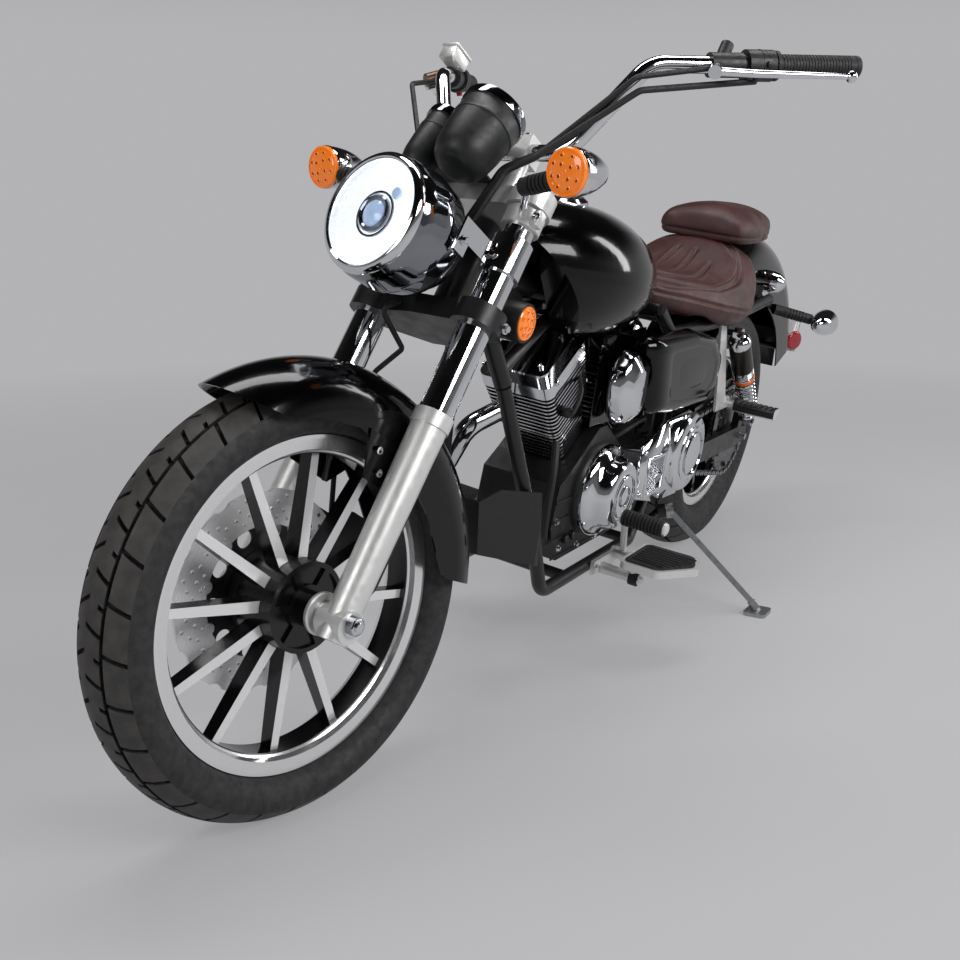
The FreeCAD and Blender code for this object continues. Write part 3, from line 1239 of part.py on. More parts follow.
def side_stand():
    """Flat tapered leg with a square foot, drawn where it stands on the ground."""
    pivot = PARKED.multVec(STAND_PIVOT)
    axis = PARKED.Rotation.multVec(STAND_AXIS)
    foot = Vector(STAND_FOOT[0] - ORIGIN_X, STAND_FOOT[1] - ORIGIN_Y, 0)
    ankle = foot + Vector(0, 0, 12)
    down = (ankle - pivot).normalize()
    wide = down.cross(axis).normalize()
    thick = wide.cross(down).normalize()
    eye = rod(pivot - axis * STAND_EYE_HALF, pivot + axis * STAND_EYE_HALF, STAND_EYE_R)

    def section(at, half_w, half_t):
        corners = [at + wide * half_w + thick * half_t, at - wide * half_w + thick * half_t,
                   at - wide * half_w - thick * half_t, at + wide * half_w - thick * half_t]
        return Part.makePolygon(corners + [corners[0]])

    leg = Part.makeLoft([section(pivot + down * 6, 14, 6), section(ankle, 8, 6)], True, True)
    pad = Part.makeBox(56, 48, 8, foot - Vector(28, 24, 0))
    pad = rounded(pad, 9, upright)
    heel = rod(ankle - down * 20, foot + Vector(0, 0, 4), 9)
    stand = joined([eye, leg, heel, pad])
    return stand.cut(rod(pivot - axis * 30, pivot + axis * 30, STAND_PIN_R + 2 * BORE_CLEAR))


# ---------------------------------------------------------------- assembly
def chassis_nodes():
    return {
        "main_frame": main_frame(),
        "frame_cradle": frame_cradle(),
        "engine_crankcase": crankcase(),
        "cylinders": cylinders(),
        "rocker_covers": rocker_covers(),
        "engine_covers": engine_covers(),
        "exhaust_pipes": exhaust_pipes(),
        "silencers": silencers(),
        "fuel_tank": fuel_tank(),
        "tank_cap": tank_cap(),
        "seat": seat(),
        "pillion_pad": pillion_pad(),
        "side_covers": side_covers(),
        "rear_fender": rear_fender(),
        "tail_lamp": tail_lamp(),
        "plate_bracket": plate_bracket(),
        "rear_reflectors": rear_reflectors(),
        "strut_caps": strut_caps(),
        "rear_signals": rear_signals(),
        "swingarm": swingarm(),
        "rear_axle": rear_axle(),
        "rear_shocks": rear_shocks(),
        "rear_caliper": rear_caliper(),
        "drive_chain": drive_chain(),
        "chain_guard": chain_guard(),
        "foot_controls": foot_controls(),
        "passenger_pegs": passenger_pegs(),
        "belly_panel": belly_panel(),
        "neck_lamps": neck_lamps(),
    }


def steering_nodes():
    return {
        "fork_tubes": fork_tubes(),
        "fork_sliders": fork_sliders(),
        "upper_clamp": upper_clamp(),
        "lower_clamp": lower_clamp(),
        "handlebar": handlebar(),
        "bar_grips": bar_grips(),
        "bar_switches": bar_switches(),
        "bar_levers": bar_levers(),
        "cables": cables(),
        "headlamp_shell": headlamp_shell(),
        "headlamp_lens": headlamp_lens(),
        "headlamp_brackets": headlamp_brackets(),
        "gauge_pods": gauge_pods(),
        "front_fender": front_fender(),
        "front_axle": front_axle(),
        "brake_caliper": brake_caliper(),
        "front_signals": front_signals(),
    }


def front_wheel_nodes():
    nodes = {
        "front_rim": front_rim(),
        "front_tyre": tyre(FRONT_TYRE_R, FRONT_TYRE_HALF, FRONT_CROWN_R, FRONT_RIM_R,
                           FRONT_RIM_HALF),
        "front_disc": front_disc(),
    }
    for shape in nodes.values():
        shape.translate(Vector(CLAMP_OFFSET, 0, 0))
    return nodes


def rear_wheel_nodes():
    nodes = {
        "rear_rim": rear_rim(),
        "rear_tyre": tyre(REAR_TYRE_R, REAR_TYRE_HALF, REAR_CROWN_R, REAR_RIM_R, REAR_RIM_HALF),
        "rear_sprocket": rear_sprocket(),
        "rear_disc": rear_disc(),
    }
    for shape in nodes.values():
        shape.translate(Vector(0, 0, REAR_TYRE_R))
    return nodes


def placed(nodes, placement):
    out = {}
    for name, shape in nodes.items():
        copy = shape.copy()
        copy.Placement = placement.multiply(copy.Placement)
        out[name] = copy
    return out


def main():
    os.makedirs("parts", exist_ok=True)
    nodes = {}
    nodes.update(placed(chassis_nodes(), PARKED))
    nodes.update(placed(rear_wheel_nodes(), PARKED))
    nodes.update(placed(steering_nodes(), FORK))
    nodes.update(placed(front_wheel_nodes(), FORK))
    nodes["side_stand"] = side_stand()
    box = FreeCAD.BoundBox()
    for name, shape in nodes.items():
        if not shape.isValid():
            print("not valid:", name)
        shape.exportStep("parts/" + name + ".step")
        box.add(shape.BoundBox)
    print("nodes", len(nodes), "box", box)


main()
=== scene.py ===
import json
import math

import bmesh
import bpy
from mathutils import Matrix, Vector
from mathutils.bvhtree import BVHTree


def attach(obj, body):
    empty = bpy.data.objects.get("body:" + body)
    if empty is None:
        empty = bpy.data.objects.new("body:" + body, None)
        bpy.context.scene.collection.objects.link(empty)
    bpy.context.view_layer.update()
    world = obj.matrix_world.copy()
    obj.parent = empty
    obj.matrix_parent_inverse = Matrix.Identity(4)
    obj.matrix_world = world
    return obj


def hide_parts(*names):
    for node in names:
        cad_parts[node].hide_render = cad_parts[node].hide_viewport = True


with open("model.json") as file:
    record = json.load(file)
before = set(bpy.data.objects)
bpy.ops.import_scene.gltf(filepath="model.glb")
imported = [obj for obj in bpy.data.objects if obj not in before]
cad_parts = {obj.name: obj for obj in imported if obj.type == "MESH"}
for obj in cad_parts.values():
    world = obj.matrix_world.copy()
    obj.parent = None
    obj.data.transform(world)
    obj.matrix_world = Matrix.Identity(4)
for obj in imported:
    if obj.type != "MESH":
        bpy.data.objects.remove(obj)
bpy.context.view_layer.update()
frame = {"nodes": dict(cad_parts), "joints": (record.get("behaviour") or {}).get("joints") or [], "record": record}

bl_info = {
    "name": "Cruiser motorcycle dressing",
    "version": (1, 0, 0),
    "blender": (4, 5, 0),
    "location": "View3D > Sidebar > Cruiser",
    "description": "Finishes a cruiser motorcycle: paint, chrome, tread, leather and lamps",
    "category": "Object",
}

NODES = frame["nodes"]
JOINTS = {j["name"]: j for j in frame["joints"]}


# ------------------------------------------------------------------ places and axes
def joint_axis(name):
    return Vector(JOINTS[name]["axis"]).normalized()


def joint_place(name):
    return Vector(JOINTS[name]["pos_m"])


# lengths in millimetres
MM = 0.001
RAKE = math.radians(34.25)
CLAMP_OFFSET = 38.0       # fork legs ahead of the steering axis
LEG_Y = 105.0             # fork legs from the middle
FRONT_TYRE_R = 316.5
REAR_TYRE_R = 315.0
CRANK = Vector((775, 0, 335))
CYLINDER_LEAN = math.radians(34)
CHAIN_Y = 92.0
REAR_FENDER_C = Vector((-53, 0, REAR_TYRE_R + 21))
REAR_FENDER_R = REAR_TYRE_R + 150


def local_frame(origin, x, y, z):
    """Frame in millimetres: its axes and its origin in the row's frame."""
    turn = Matrix((x, y, z)).transposed().to_4x4()
    return Matrix.Translation(origin) @ turn @ Matrix.Scale(MM, 4)


STEM = joint_axis("steering")
LEFT = joint_axis("rear_wheel")
RAKED = LEFT.cross(STEM).normalized()
AHEAD = RAKED * math.cos(RAKE) - STEM * math.sin(RAKE)
UP = RAKED * math.sin(RAKE) + STEM * math.cos(RAKE)
FORK_LEFT = joint_axis("front_wheel")
FORK_AHEAD = FORK_LEFT.cross(STEM).normalized()

# X forward, Y left, Z up: the machine from the rear contact, the fork from the axle's foot
BIKE = local_frame(joint_place("rear_wheel") - UP * REAR_TYRE_R * MM, AHEAD, LEFT, UP)
FORK = local_frame(joint_place("front_wheel") - FORK_AHEAD * CLAMP_OFFSET * MM, FORK_AHEAD, FORK_LEFT, STEM)
# wheels: Z to the left along the axle, Y up
FRONT_WHEEL = local_frame(joint_place("front_wheel"), -FORK_AHEAD, STEM, FORK_LEFT)
REAR_WHEEL = local_frame(joint_place("rear_wheel"), -AHEAD, UP, LEFT)


# ------------------------------------------------------------------ colour and nodes
def linear(hex_colour, alpha=1.0):
    """sRGB hex to the linear values that the shaders take."""
    out = []
    for i in (1, 3, 5):
        c = int(hex_colour[i:i + 2], 16) / 255
        out.append(c / 12.92 if c <= 0.04045 else ((c + 0.055) / 1.055) ** 2.4)
    return (*out, alpha)


def add(tree, kind, settings=None, **links):
    """Adds a node; links give its inputs as values or as other nodes' outputs."""
    node = tree.nodes.new(kind)
    for key, value in (settings or {}).items():
        setattr(node, key, value)
    for key, value in links.items():
        name = key.replace("_", " ")
        socket = node.inputs[int(name[1:])] if name[0] == "i" and name[1:].isdigit() else node.inputs[name]
        if isinstance(value, bpy.types.NodeSocket):
            tree.links.new(value, socket)
        else:
            socket.default_value = value
    return node


class Finish:
    """One material: a Principled surface on Object coordinates, its patterns sized in millimetres."""

    def __init__(self, name, colour, rough, metal=0.0, **sockets):
        self.mat = bpy.data.materials.new(name)
        self.mat.use_nodes = True
        self.mat.diffuse_color = linear(colour)
        self.tree = self.mat.node_tree
        self.bsdf = self.tree.nodes["Principled BSDF"]
        self.even(Base_Color=linear(colour), Roughness=rough, Metallic=metal, **sockets)
        coords = add(self.tree, "ShaderNodeTexCoord")
        self.place = coords.outputs["Object"]
        self.facing = coords.outputs["Normal"]
        self.height = None

    def even(self, **sockets):
        """Values that are the same all over, on the shader's own sockets."""
        for key, value in sockets.items():
            self.bsdf.inputs[key.replace("_", " ")].default_value = value
        return self

    def set(self, name, value):
        self.tree.links.new(value, self.bsdf.inputs[name])
        return self

    def noise(self, grain_mm, detail=3.0):
        """Noise whose features are about grain_mm across."""
        return add(self.tree, "ShaderNodeTexNoise", Vector=self.place, Scale=1 / (grain_mm * MM),
                   Detail=detail).outputs["Fac"]

    def span(self, value, lo, hi, to_lo=0.0, to_hi=1.0):
        """Maps value from lo..hi to to_lo..to_hi, clamped."""
        return add(self.tree, "ShaderNodeMapRange", Value=value, From_Min=lo, From_Max=hi, To_Min=to_lo,
                   To_Max=to_hi).outputs["Result"]

    def blend(self, share, a, b):
        """Colour a where share is 0, colour b where it is 1."""
        return add(self.tree, "ShaderNodeMix", {"data_type": "RGBA"}, i0=share, i6=linear(a),
                   i7=linear(b)).outputs[2]

    def math(self, operation, a, b=0.0):
        return add(self.tree, "ShaderNodeMath", {"operation": operation}, i0=a, i1=b).outputs[0]

    def vector_math(self, operation, a, b=(0, 0, 0)):
        node = add(self.tree, "ShaderNodeVectorMath", {"operation": operation}, i0=a, i1=b)
        return node.outputs["Value" if operation in ("DOT_PRODUCT", "LENGTH") else "Vector"]

    def patches(self, size_mm, a, b, detail=3.0, lo=0.35, hi=0.7):
        """Base colour that drifts from a to b in patches."""
        return self.set("Base Color", self.blend(self.span(self.noise(size_mm, detail), lo, hi), a, b))

    def wear(self, size_mm, smooth, rough):
        """Roughness that drifts between two values in patches."""
        return self.set("Roughness", self.span(self.noise(size_mm), 0.3, 0.7, smooth, rough))

    def bump(self, height, depth_mm):
        """Relief of depth_mm from a height between 0 and 1, over what is there already."""
        under = {} if self.height is None else {"Normal": self.height}
        self.height = add(self.tree, "ShaderNodeBump", Strength=1.0, Distance=depth_mm * MM, Height=height,
                          **under).outputs["Normal"]
        return self.set("Normal", self.height)

    def grain(self, size_mm, depth_mm, detail=2.0):
        return self.bump(self.noise(size_mm, detail), depth_mm)

    def about(self, hub):
        """(distance from the axle, how far the face looks along it)."""
        axle = tuple(hub.to_3x3().col[2].normalized())
        arm = self.vector_math("SUBTRACT", self.place, tuple(hub.translation))
        along = self.vector_math("DOT_PRODUCT", arm, axle)
        size = self.vector_math("LENGTH", arm)
        square = self.math("MULTIPLY", size, size)
        square = self.math("SUBTRACT", square, self.math("MULTIPLY", along, along))
        radial = self.math("SQRT", self.math("MAXIMUM", square, 0.0))
        return radial, self.math("ABSOLUTE", self.vector_math("DOT_PRODUCT", self.facing, axle))


def gloss_black_paint():
    # A clear coat over stoved black gives deep mirror reflections with a faint orange peel.
    f = Finish("stove enamelled steel, gloss black", "#020203", 0.12, Coat_Weight=0.3, Coat_Roughness=0.02,
               Specular_IOR_Level=0.2)
    return f.wear(40, 0.10, 0.16).grain(9, 0.02, 1.0)


def frame_black():
    # Powder coat: black with a low sheen and a fine pebble.
    return Finish("powder coated steel, satin black", "#0F0F10", 0.34).wear(25, 0.30, 0.44).grain(1.6, 0.03)


def engine_black():
    # Heat-proof paint on sand-cast alloy: dull black with a grain.
    f = Finish("heat-proof paint on cast alloy, black", "#0D0D0E", 0.42)
    return f.wear(18, 0.38, 0.55).grain(1.2, 0.05)


def fin_alloy():
    # Black cast fins whose outer edges were milled back to bright alloy.
    f = Finish("cast alloy fins, black with milled edges", "#0D0D0E", 0.42)
    arm = f.vector_math("SUBTRACT", f.place, tuple(BIKE @ CRANK))
    across = f.math("ABSOLUTE", f.vector_math("DOT_PRODUCT", arm, tuple(LEFT)))
    front = f.math("GREATER_THAN", f.vector_math("DOT_PRODUCT", arm, tuple(AHEAD)), 0.0)
    bright = None
    for sign in (1, -1):
        lean = sign * CYLINDER_LEAN
        axis = AHEAD * math.sin(lean) + UP * math.cos(lean)
        side = AHEAD * math.cos(lean) - UP * math.sin(lean)
        along = f.vector_math("DOT_PRODUCT", arm, tuple(axis))
        out = f.math("MAXIMUM", across, f.math("ABSOLUTE", f.vector_math("DOT_PRODUCT", arm, tuple(side))))
        # the head, past 195 mm, is 7 mm wider than the barrel's 46.5
        edge = f.math("ADD", f.math("MULTIPLY", f.math("GREATER_THAN", along, 0.195), 0.007), 0.0465)
        flank = f.math("ABSOLUTE", f.vector_math("DOT_PRODUCT", f.facing, tuple(axis)))
        flank = f.math("LESS_THAN", flank, 0.4)
        mine = f.math("MULTIPLY", flank, f.math("GREATER_THAN", out, edge))
        mine = f.math("MULTIPLY", mine, front if sign > 0 else f.math("SUBTRACT", 1.0, front))
        bright = mine if bright is None else f.math("MAXIMUM", bright, mine)
    f.set("Base Color", f.blend(bright, "#0D0D0E", "#D6D6D8")).set("Metallic", bright)
    return f.set("Roughness", f.span(bright, 0.0, 1.0, 0.42, 0.2)).grain(1.2, 0.03)


def chrome(name="chrome plate on polished steel", colour="#DCDDE0", rough=0.05):
    # Plating mirrors its surroundings, a little blurred where it was buffed.
    return Finish(name, colour, rough, 1.0).wear(30, rough * 0.7, rough * 1.8).grain(14, 0.008, 1.0)


def dark_chrome():
    # Smoked plating: a mirror with a grey body.
    return chrome("smoked chrome plate", "#8B8D92", 0.05)


def cast_alloy():
    # A bead-blasted casting under clear lacquer: pale, with a soft broad highlight.
    f = Finish("bead-blasted aluminium casting", "#DEDEDC", 0.36, 0.65)
    return f.wear(12, 0.30, 0.44).grain(0.9, 0.03)


def wheel_alloy(hub, lip_mm, name):
    # Black paint in the recesses and bare turned alloy on the lip and the spokes' faces.
    f = Finish(name, "#0E0E10", 0.3)
    radial, facing = f.about(hub)
    lip = f.span(radial, (lip_mm - 1) * MM, lip_mm * MM)
    spoke = f.math("MULTIPLY", f.span(facing, 0.93, 0.97), f.span(radial, 0.066, 0.068))
    f.set("Base Color", f.blend(f.math("MAXIMUM", lip, spoke), "#0A0A0B", "#F0F0F1"))
    f.set("Metallic", f.math("MAXIMUM", f.math("MULTIPLY", lip, 0.9), f.math("MULTIPLY", spoke, 0.6)))
    return f.set("Roughness", f.span(f.noise(0.8, 2.0), 0.3, 0.7, 0.14, 0.26)).grain(1.5, 0.01)


def disc_steel(hub, name):
    # A ground stainless friction ring: fine rings round the axle.
    f = Finish(name, "#E6E6E7", 0.3, 0.6)
    rings = add(f.tree, "ShaderNodeTexNoise", {"noise_dimensions": "1D"},
                W=f.math("MULTIPLY", f.about(hub)[0], 900.0), Detail=2.0).outputs["Fac"]
    return f.set("Roughness", f.span(rings, 0.3, 0.7, 0.2, 0.36)).bump(rings, 0.02)


def steel():
    # Zinc plating dulls the steel to an even grey with cloudy patches.
    return Finish("zinc plated steel", "#A9ABAD", 0.32, 1.0).wear(8, 0.26, 0.42).grain(1.0, 0.02)


def chain_steel():
    # Oil gathers dirt, so the bare steel darkens in spots.
    f = Finish("oiled chain steel", "#6E6F72", 0.34, 1.0)
    return f.patches(6, "#7A7B7E", "#3C3A38", lo=0.4, hi=0.65).grain(1.4, 0.04)


def tyre():
    # Carbon-black rubber from a mould: nearly matt, a little grey with dust in the grain.
    f = Finish("moulded tyre rubber", "#1D1D1E", 0.68)
    return f.patches(14, "#18181A", "#2A2A2B", 4.0).wear(10, 0.58, 0.8).grain(0.9, 0.05)


def rubber():
    # Softer black rubber, handled often, so it shines in places.
    return Finish("moulded black rubber", "#131314", 0.6).wear(6, 0.5, 0.7).grain(0.8, 0.04)


def black_plastic():
    # Injection-moulded ABS with a spark-eroded grain.
    return Finish("moulded ABS, grained black", "#0F1011", 0.46).wear(9, 0.4, 0.54).grain(0.7, 0.05)


def amber_lens():
    # Moulded amber acrylic, lit from inside.
    f = Finish("moulded acrylic, amber", "#E8791A", 0.16, Coat_Weight=0.6, Coat_Roughness=0.05)
    return f.even(Emission_Color=linear("#F07A10"), Emission_Strength=0.25).grain(3.0, 0.05, 1.0)


def red_lens():
    # Moulded red acrylic: deep colour under a glossy skin.
    f = Finish("moulded acrylic, red", "#8E0D10", 0.15, Coat_Weight=0.6, Coat_Roughness=0.05)
    return f.grain(3.0, 0.05, 1.0)


def clear_lens():
    # Moulded polycarbonate: clear, with a slight wave in its skin.
    f = Finish("moulded polycarbonate, clear", "#F4F8FF", 0.03, Transmission_Weight=1.0, IOR=1.5)
    return f.grain(25, 0.02, 1.0)


def brown_leather():
    # Chrome-tanned cowhide: dark brown with a pebble grain about 2 mm across, paler where it is worn.
    f = Finish("stitched cowhide, dark brown", "#3A211C", 0.46)
    cells = add(f.tree, "ShaderNodeTexVoronoi", {"feature": "DISTANCE_TO_EDGE"}, Vector=f.place,
                Scale=420.0).outputs["Distance"]
    f.patches(60, "#341A17", "#45231F").wear(20, 0.38, 0.56)
    return f.bump(f.span(cells, 0.0, 0.12), 0.12).grain(1.0, 0.04)


FINISHES = {make.__name__: make for make in (
    gloss_black_paint, frame_black, engine_black, chrome, cast_alloy, steel, chain_steel, tyre, rubber,
    black_plastic, amber_lens, red_lens, clear_lens, brown_leather)}
MADE = {}


def finish_for(slot):
    """The slot's finish, made once."""
    if slot not in MADE:
        MADE[slot] = FINISHES[slot]()
    return MADE[slot]


def give(obj, finish):
    obj.data.materials.clear()
    obj.data.materials.append(finish.mat)


# ------------------------------------------------------------------ sizes
class CruiserSizes(bpy.types.PropertyGroup):
    lamp_output: bpy.props.FloatProperty(name="Lamp output", description="Strength of the soft lamps",
                                         default=1.0, min=0.0)


class Make(bpy.types.Operator):
    bl_options = {"REGISTER", "UNDO"}


class CRUISER_OT_finishes(Make):
    """Give every carried-over solid its paint, plating or casting finish"""
    bl_idname = "cruiser.finishes"
    bl_label = "Finishes"

    def execute(self, context):
        slots = {row["node"]: row["material_slot"] for row in frame["record"]["subparts"]}
        for name, node in NODES.items():
            if slots[name] != "wheel_black":
                give(node, finish_for(slots[name]))
        give(NODES["front_rim"], wheel_alloy(FRONT_WHEEL, 217, "cast wheel, black with turned faces, front"))
        give(NODES["rear_rim"], wheel_alloy(REAR_WHEEL, 179, "cast wheel, black with turned faces, rear"))
        give(NODES["cylinders"], fin_alloy())
        return {"FINISHED"}


# ------------------------------------------------------------------ mesh tools
def turn_about(angle, axis="Z"):
    return Matrix.Rotation(angle, 4, axis)


OUTWARD = turn_about(-math.pi / 2, "X")       # turns a part's Z to the left
INWARD = turn_about(math.pi / 2, "X")         # and to the right
SIDES = ((-1, INWARD), (1, OUTWARD))


def ring_of(count, shift=0.0):
    """Turns about Z for count parts spaced evenly."""
    return [turn_about(math.tau * (i + shift) / count) for i in range(count)]


def at(*place):
    return Matrix.Translation(place[0] if len(place) == 1 else place)


def between(a, b):
    """Local frame at a whose Z runs to b."""
    a, b = Vector(a), Vector(b)
    return at(a) @ (b - a).to_track_quat("Z", "Y").to_matrix().to_4x4()


def looking(centre, axis):
    return between(centre, Vector(centre) + Vector(axis))


def mesh_from(bm, name):
    """The bmesh's shape as a mesh; frees the bmesh."""
    mesh = bpy.data.meshes.new(name)
    bm.to_mesh(mesh)
    bm.free()
    return mesh


def form_from(mesh, merge=0.0):
    """A bmesh of the mesh, with its doubles merged."""
    bm = bmesh.new()
    bm.from_mesh(mesh)
    if merge:
        bmesh.ops.remove_doubles(bm, verts=bm.verts, dist=merge)
    return bm


def shown(name, data):
    """A new object in the scene."""
    obj = bpy.data.objects.new(name, data)
    bpy.context.scene.collection.objects.link(obj)
    return obj


def painted(bm, colour):
    for face in bm.faces:
        face.material_index = colour
    return bm


def new_verts(out):
    return [g for g in out["geom"] if isinstance(g, bmesh.types.BMVert)]


def open_edges(bm):
    return [e for e in bm.edges if e.is_boundary]


def spun(profile, steps=32, colour=0):
    """Closed turned form about Z; the profile of (radius, height) runs from pole to pole or in a loop."""
    bm = bmesh.new()
    verts = [bm.verts.new((r, 0, h)) for r, h in profile]
    edges = [bm.edges.new(pair) for pair in zip(verts, verts[1:])]
    if profile[0][0] > 0 and profile[-1][0] > 0:
        edges.append(bm.edges.new((verts[-1], verts[0])))
    bmesh.ops.spin(bm, geom=verts + edges, cent=(0, 0, 0), axis=(0, 0, 1), angle=math.tau,
                   steps=steps, use_merge=True)
    bmesh.ops.remove_doubles(bm, verts=bm.verts, dist=1e-4)
    bmesh.ops.dissolve_degenerate(bm, edges=bm.edges, dist=1e-5)
    return painted(bm, colour)


def tube_rows(inner, outer, low, high):
    """Profile of a plain ring or sleeve."""
    return [(inner, low), (outer, low), (outer, high), (inner, high)]


def ribs(count, first, pitch, high, low, land, fall, dwell):
    """Profile rows of count ribs, each flat for land, down to low by fall and level to dwell."""
    rows = []
    for i in range(count):
        z = first + pitch * i
        rows += [(high, z), (high, z + land), (low, z + fall), (low, z + dwell)]
    return rows


def round_bar(length, r, steps=24, colour=0):
    """Bar from the origin up Z, its ends softened."""
    soft = r * 0.12
    return spun([(0, 0), (r - soft, 0), (r, soft), (r, length - soft), (r - soft, length), (0, length)],
                steps, colour)


def box_form(x, y, z, soft=1.0, colour=0, segments=2):
    """Block about the origin with its edges rounded."""
    bm = bmesh.new()
    bmesh.ops.create_cube(bm, size=1.0, matrix=Matrix.Diagonal((x, y, z, 1)))
    bmesh.ops.bevel(bm, geom=bm.edges, offset=soft, affect="EDGES", segments=segments, profile=0.5,
                    material=-1)
    return painted(bm, colour)


def hex_bolt(r, h, colour=0):
    """Hexagon head on a washer, seated on the plane Z = 0, with a chamfered top."""
    bm = spun([(0, 0), (r * 1.35, 0), (r * 1.35, h * 0.25), (0, h * 0.25)], 20, colour)
    head = bmesh.new()
    bmesh.ops.create_cone(head, cap_ends=True, segments=6, radius1=r, radius2=r, depth=h)
    top = [e for e in head.edges if all(v.co.z > 0 for v in e.verts)]
    bmesh.ops.bevel(head, geom=top, offset=r * 0.12, affect="EDGES", segments=1, profile=0.5, material=-1)
    return put(bm, head, at(0, 0, h * 0.65), colour)


def socket_bolt(r, h, colour=0):
    """Round cap screw with a round socket sunk in its head."""
    bm = spun([(0, 0), (r, 0), (r, h * 0.85), (r * 0.88, h), (r * 0.55, h)], 20, colour)
    hole = [v for v in bm.verts if v.co.z > h * 0.99 and v.co.to_2d().length < r * 0.6]
    rim = [e for e in open_edges(bm) if e.verts[0] in hole]
    low = new_verts(bmesh.ops.extrude_edge_only(bm, edges=rim))
    bmesh.ops.translate(bm, vec=(0, 0, -h * 0.5), verts=low)
    bmesh.ops.holes_fill(bm, edges=open_edges(bm), sides=0)
    return painted(bm, colour)


def put(bm, part, place=None, colour=None):
    """Adds a part's mesh to bm at its place and frees it."""
    if place is not None:
        bmesh.ops.transform(part, matrix=place, verts=part.verts)
    if colour is not None:
        painted(part, colour)
    mesh = mesh_from(part, "part")
    bm.from_mesh(mesh)
    bpy.data.meshes.remove(mesh)
    return bm


def tube_form(points, r, colour=0, steps=12, smooth=8):
    """Round tube along a smooth line through the points."""
    curve = bpy.data.curves.new("run", "CURVE")
    curve.dimensions = "3D"
    curve.resolution_u = smooth
    curve.bevel_depth = r
    curve.bevel_resolution = max(steps // 4, 1)
    curve.use_fill_caps = True
    line = curve.splines.new("NURBS")
    line.points.add(len(points) - 1)
    for point, co in zip(line.points, points):
        point.co = (*co, 1.0)
    line.order_u = 3
    line.use_endpoint_u = True
    obj = bpy.data.objects.new("run", curve)
    mesh = bpy.data.meshes.new_from_object(obj)
    bm = form_from(mesh, 1e-4)
    bpy.data.meshes.remove(mesh)
    bpy.data.objects.remove(obj)
    bpy.data.curves.remove(curve)
    return painted(bm, colour)


def mirror_copy(bm):
    """Adds the right-hand twin across the middle plane."""
    twin = bm.copy()
    bmesh.ops.transform(twin, matrix=Matrix.Scale(-1, 4, (0, 1, 0)), verts=twin.verts)
    bmesh.ops.reverse_faces(twin, faces=twin.faces)
    return put(bm, twin)


def finish_piece(name, bm, place, body, slot, *finishes, replaces=(), sharp=35.0, outward=True):
    """Makes a piece of a mesh drawn in a local frame; it has its slot's finish unless others are given."""
    bmesh.ops.transform(bm, matrix=place, verts=bm.verts)
    if outward:
        bmesh.ops.recalc_face_normals(bm, faces=bm.faces)
    for face in bm.faces:
        face.smooth = True
    mesh = mesh_from(bm, name)
    mesh.set_sharp_from_angle(angle=math.radians(sharp))
    for finish in finishes or (slot,):
        mesh.materials.append((finish_for(finish) if isinstance(finish, str) else finish).mat)
    obj = shown(name, mesh)
    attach(obj, body)
    if replaces:
        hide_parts(*replaces)
    return obj


def node_copy(name):
    """A node's mesh with its doubles merged."""
    return form_from(NODES[name].data, 1e-6)


# ------------------------------------------------------------------ tyres
class TyreSizes(bpy.types.PropertyGroup):
    tread_depth: bpy.props.FloatProperty(name="Tread depth", description="Height of the tread blocks, mm",
                                         default=5.5, min=1.0, max=9.0)
    chevron: bpy.props.FloatProperty(name="Chevron", default=0.55, min=0.0, max=1.5,
                                     description="How far the blocks sweep back per mm of width")


def arc_points(a, m, b, count):
    """Points along the circle through a, m and b, without its ends."""
    ax, ay, bx, by, cx, cy = *a, *m, *b
    d = 2 * (ax * (by - cy) + bx * (cy - ay) + cx * (ay - by))
    aa, bb, cc = ax * ax + ay * ay, bx * bx + by * by, cx * cx + cy * cy
    ux = (aa * (by - cy) + bb * (cy - ay) + cc * (ay - by)) / d
    uy = (aa * (cx - bx) + bb * (ax - cx) + cc * (bx - ax)) / d
    r = math.hypot(ax - ux, ay - uy)
    start = math.atan2(ay - uy, ax - ux)
    middle = math.atan2(by - uy, bx - ux)
    end = math.atan2(cy - uy, cx - ux)
    while middle < start:
        middle += math.tau
    while end < start:
        end += math.tau
    if middle > end:
        end -= math.tau
    return [(ux + r * math.cos(start + (end - start) * i / count),
             uy + r * math.sin(start + (end - start) * i / count)) for i in range(1, count)]


# where the tread changes across half its width, in fiftieths; which band is the groove all round
TREAD_BANDS = (0, 8, 16, 23.5, 28, 38, 46, 50)
GROOVE_BAND = 3
TREAD_PITCH = 10          # columns from one block to the next


def block_at(band, column):
    """Whether a cell of the tread stands up: swept blocks, the ring groove, shoulder blocks."""
    if band < GROOVE_BAND:
        return column != 0 and not (column == TREAD_PITCH // 2 and band == GROOVE_BAND - 1)
    return band > GROOVE_BAND and column != TREAD_PITCH // 3


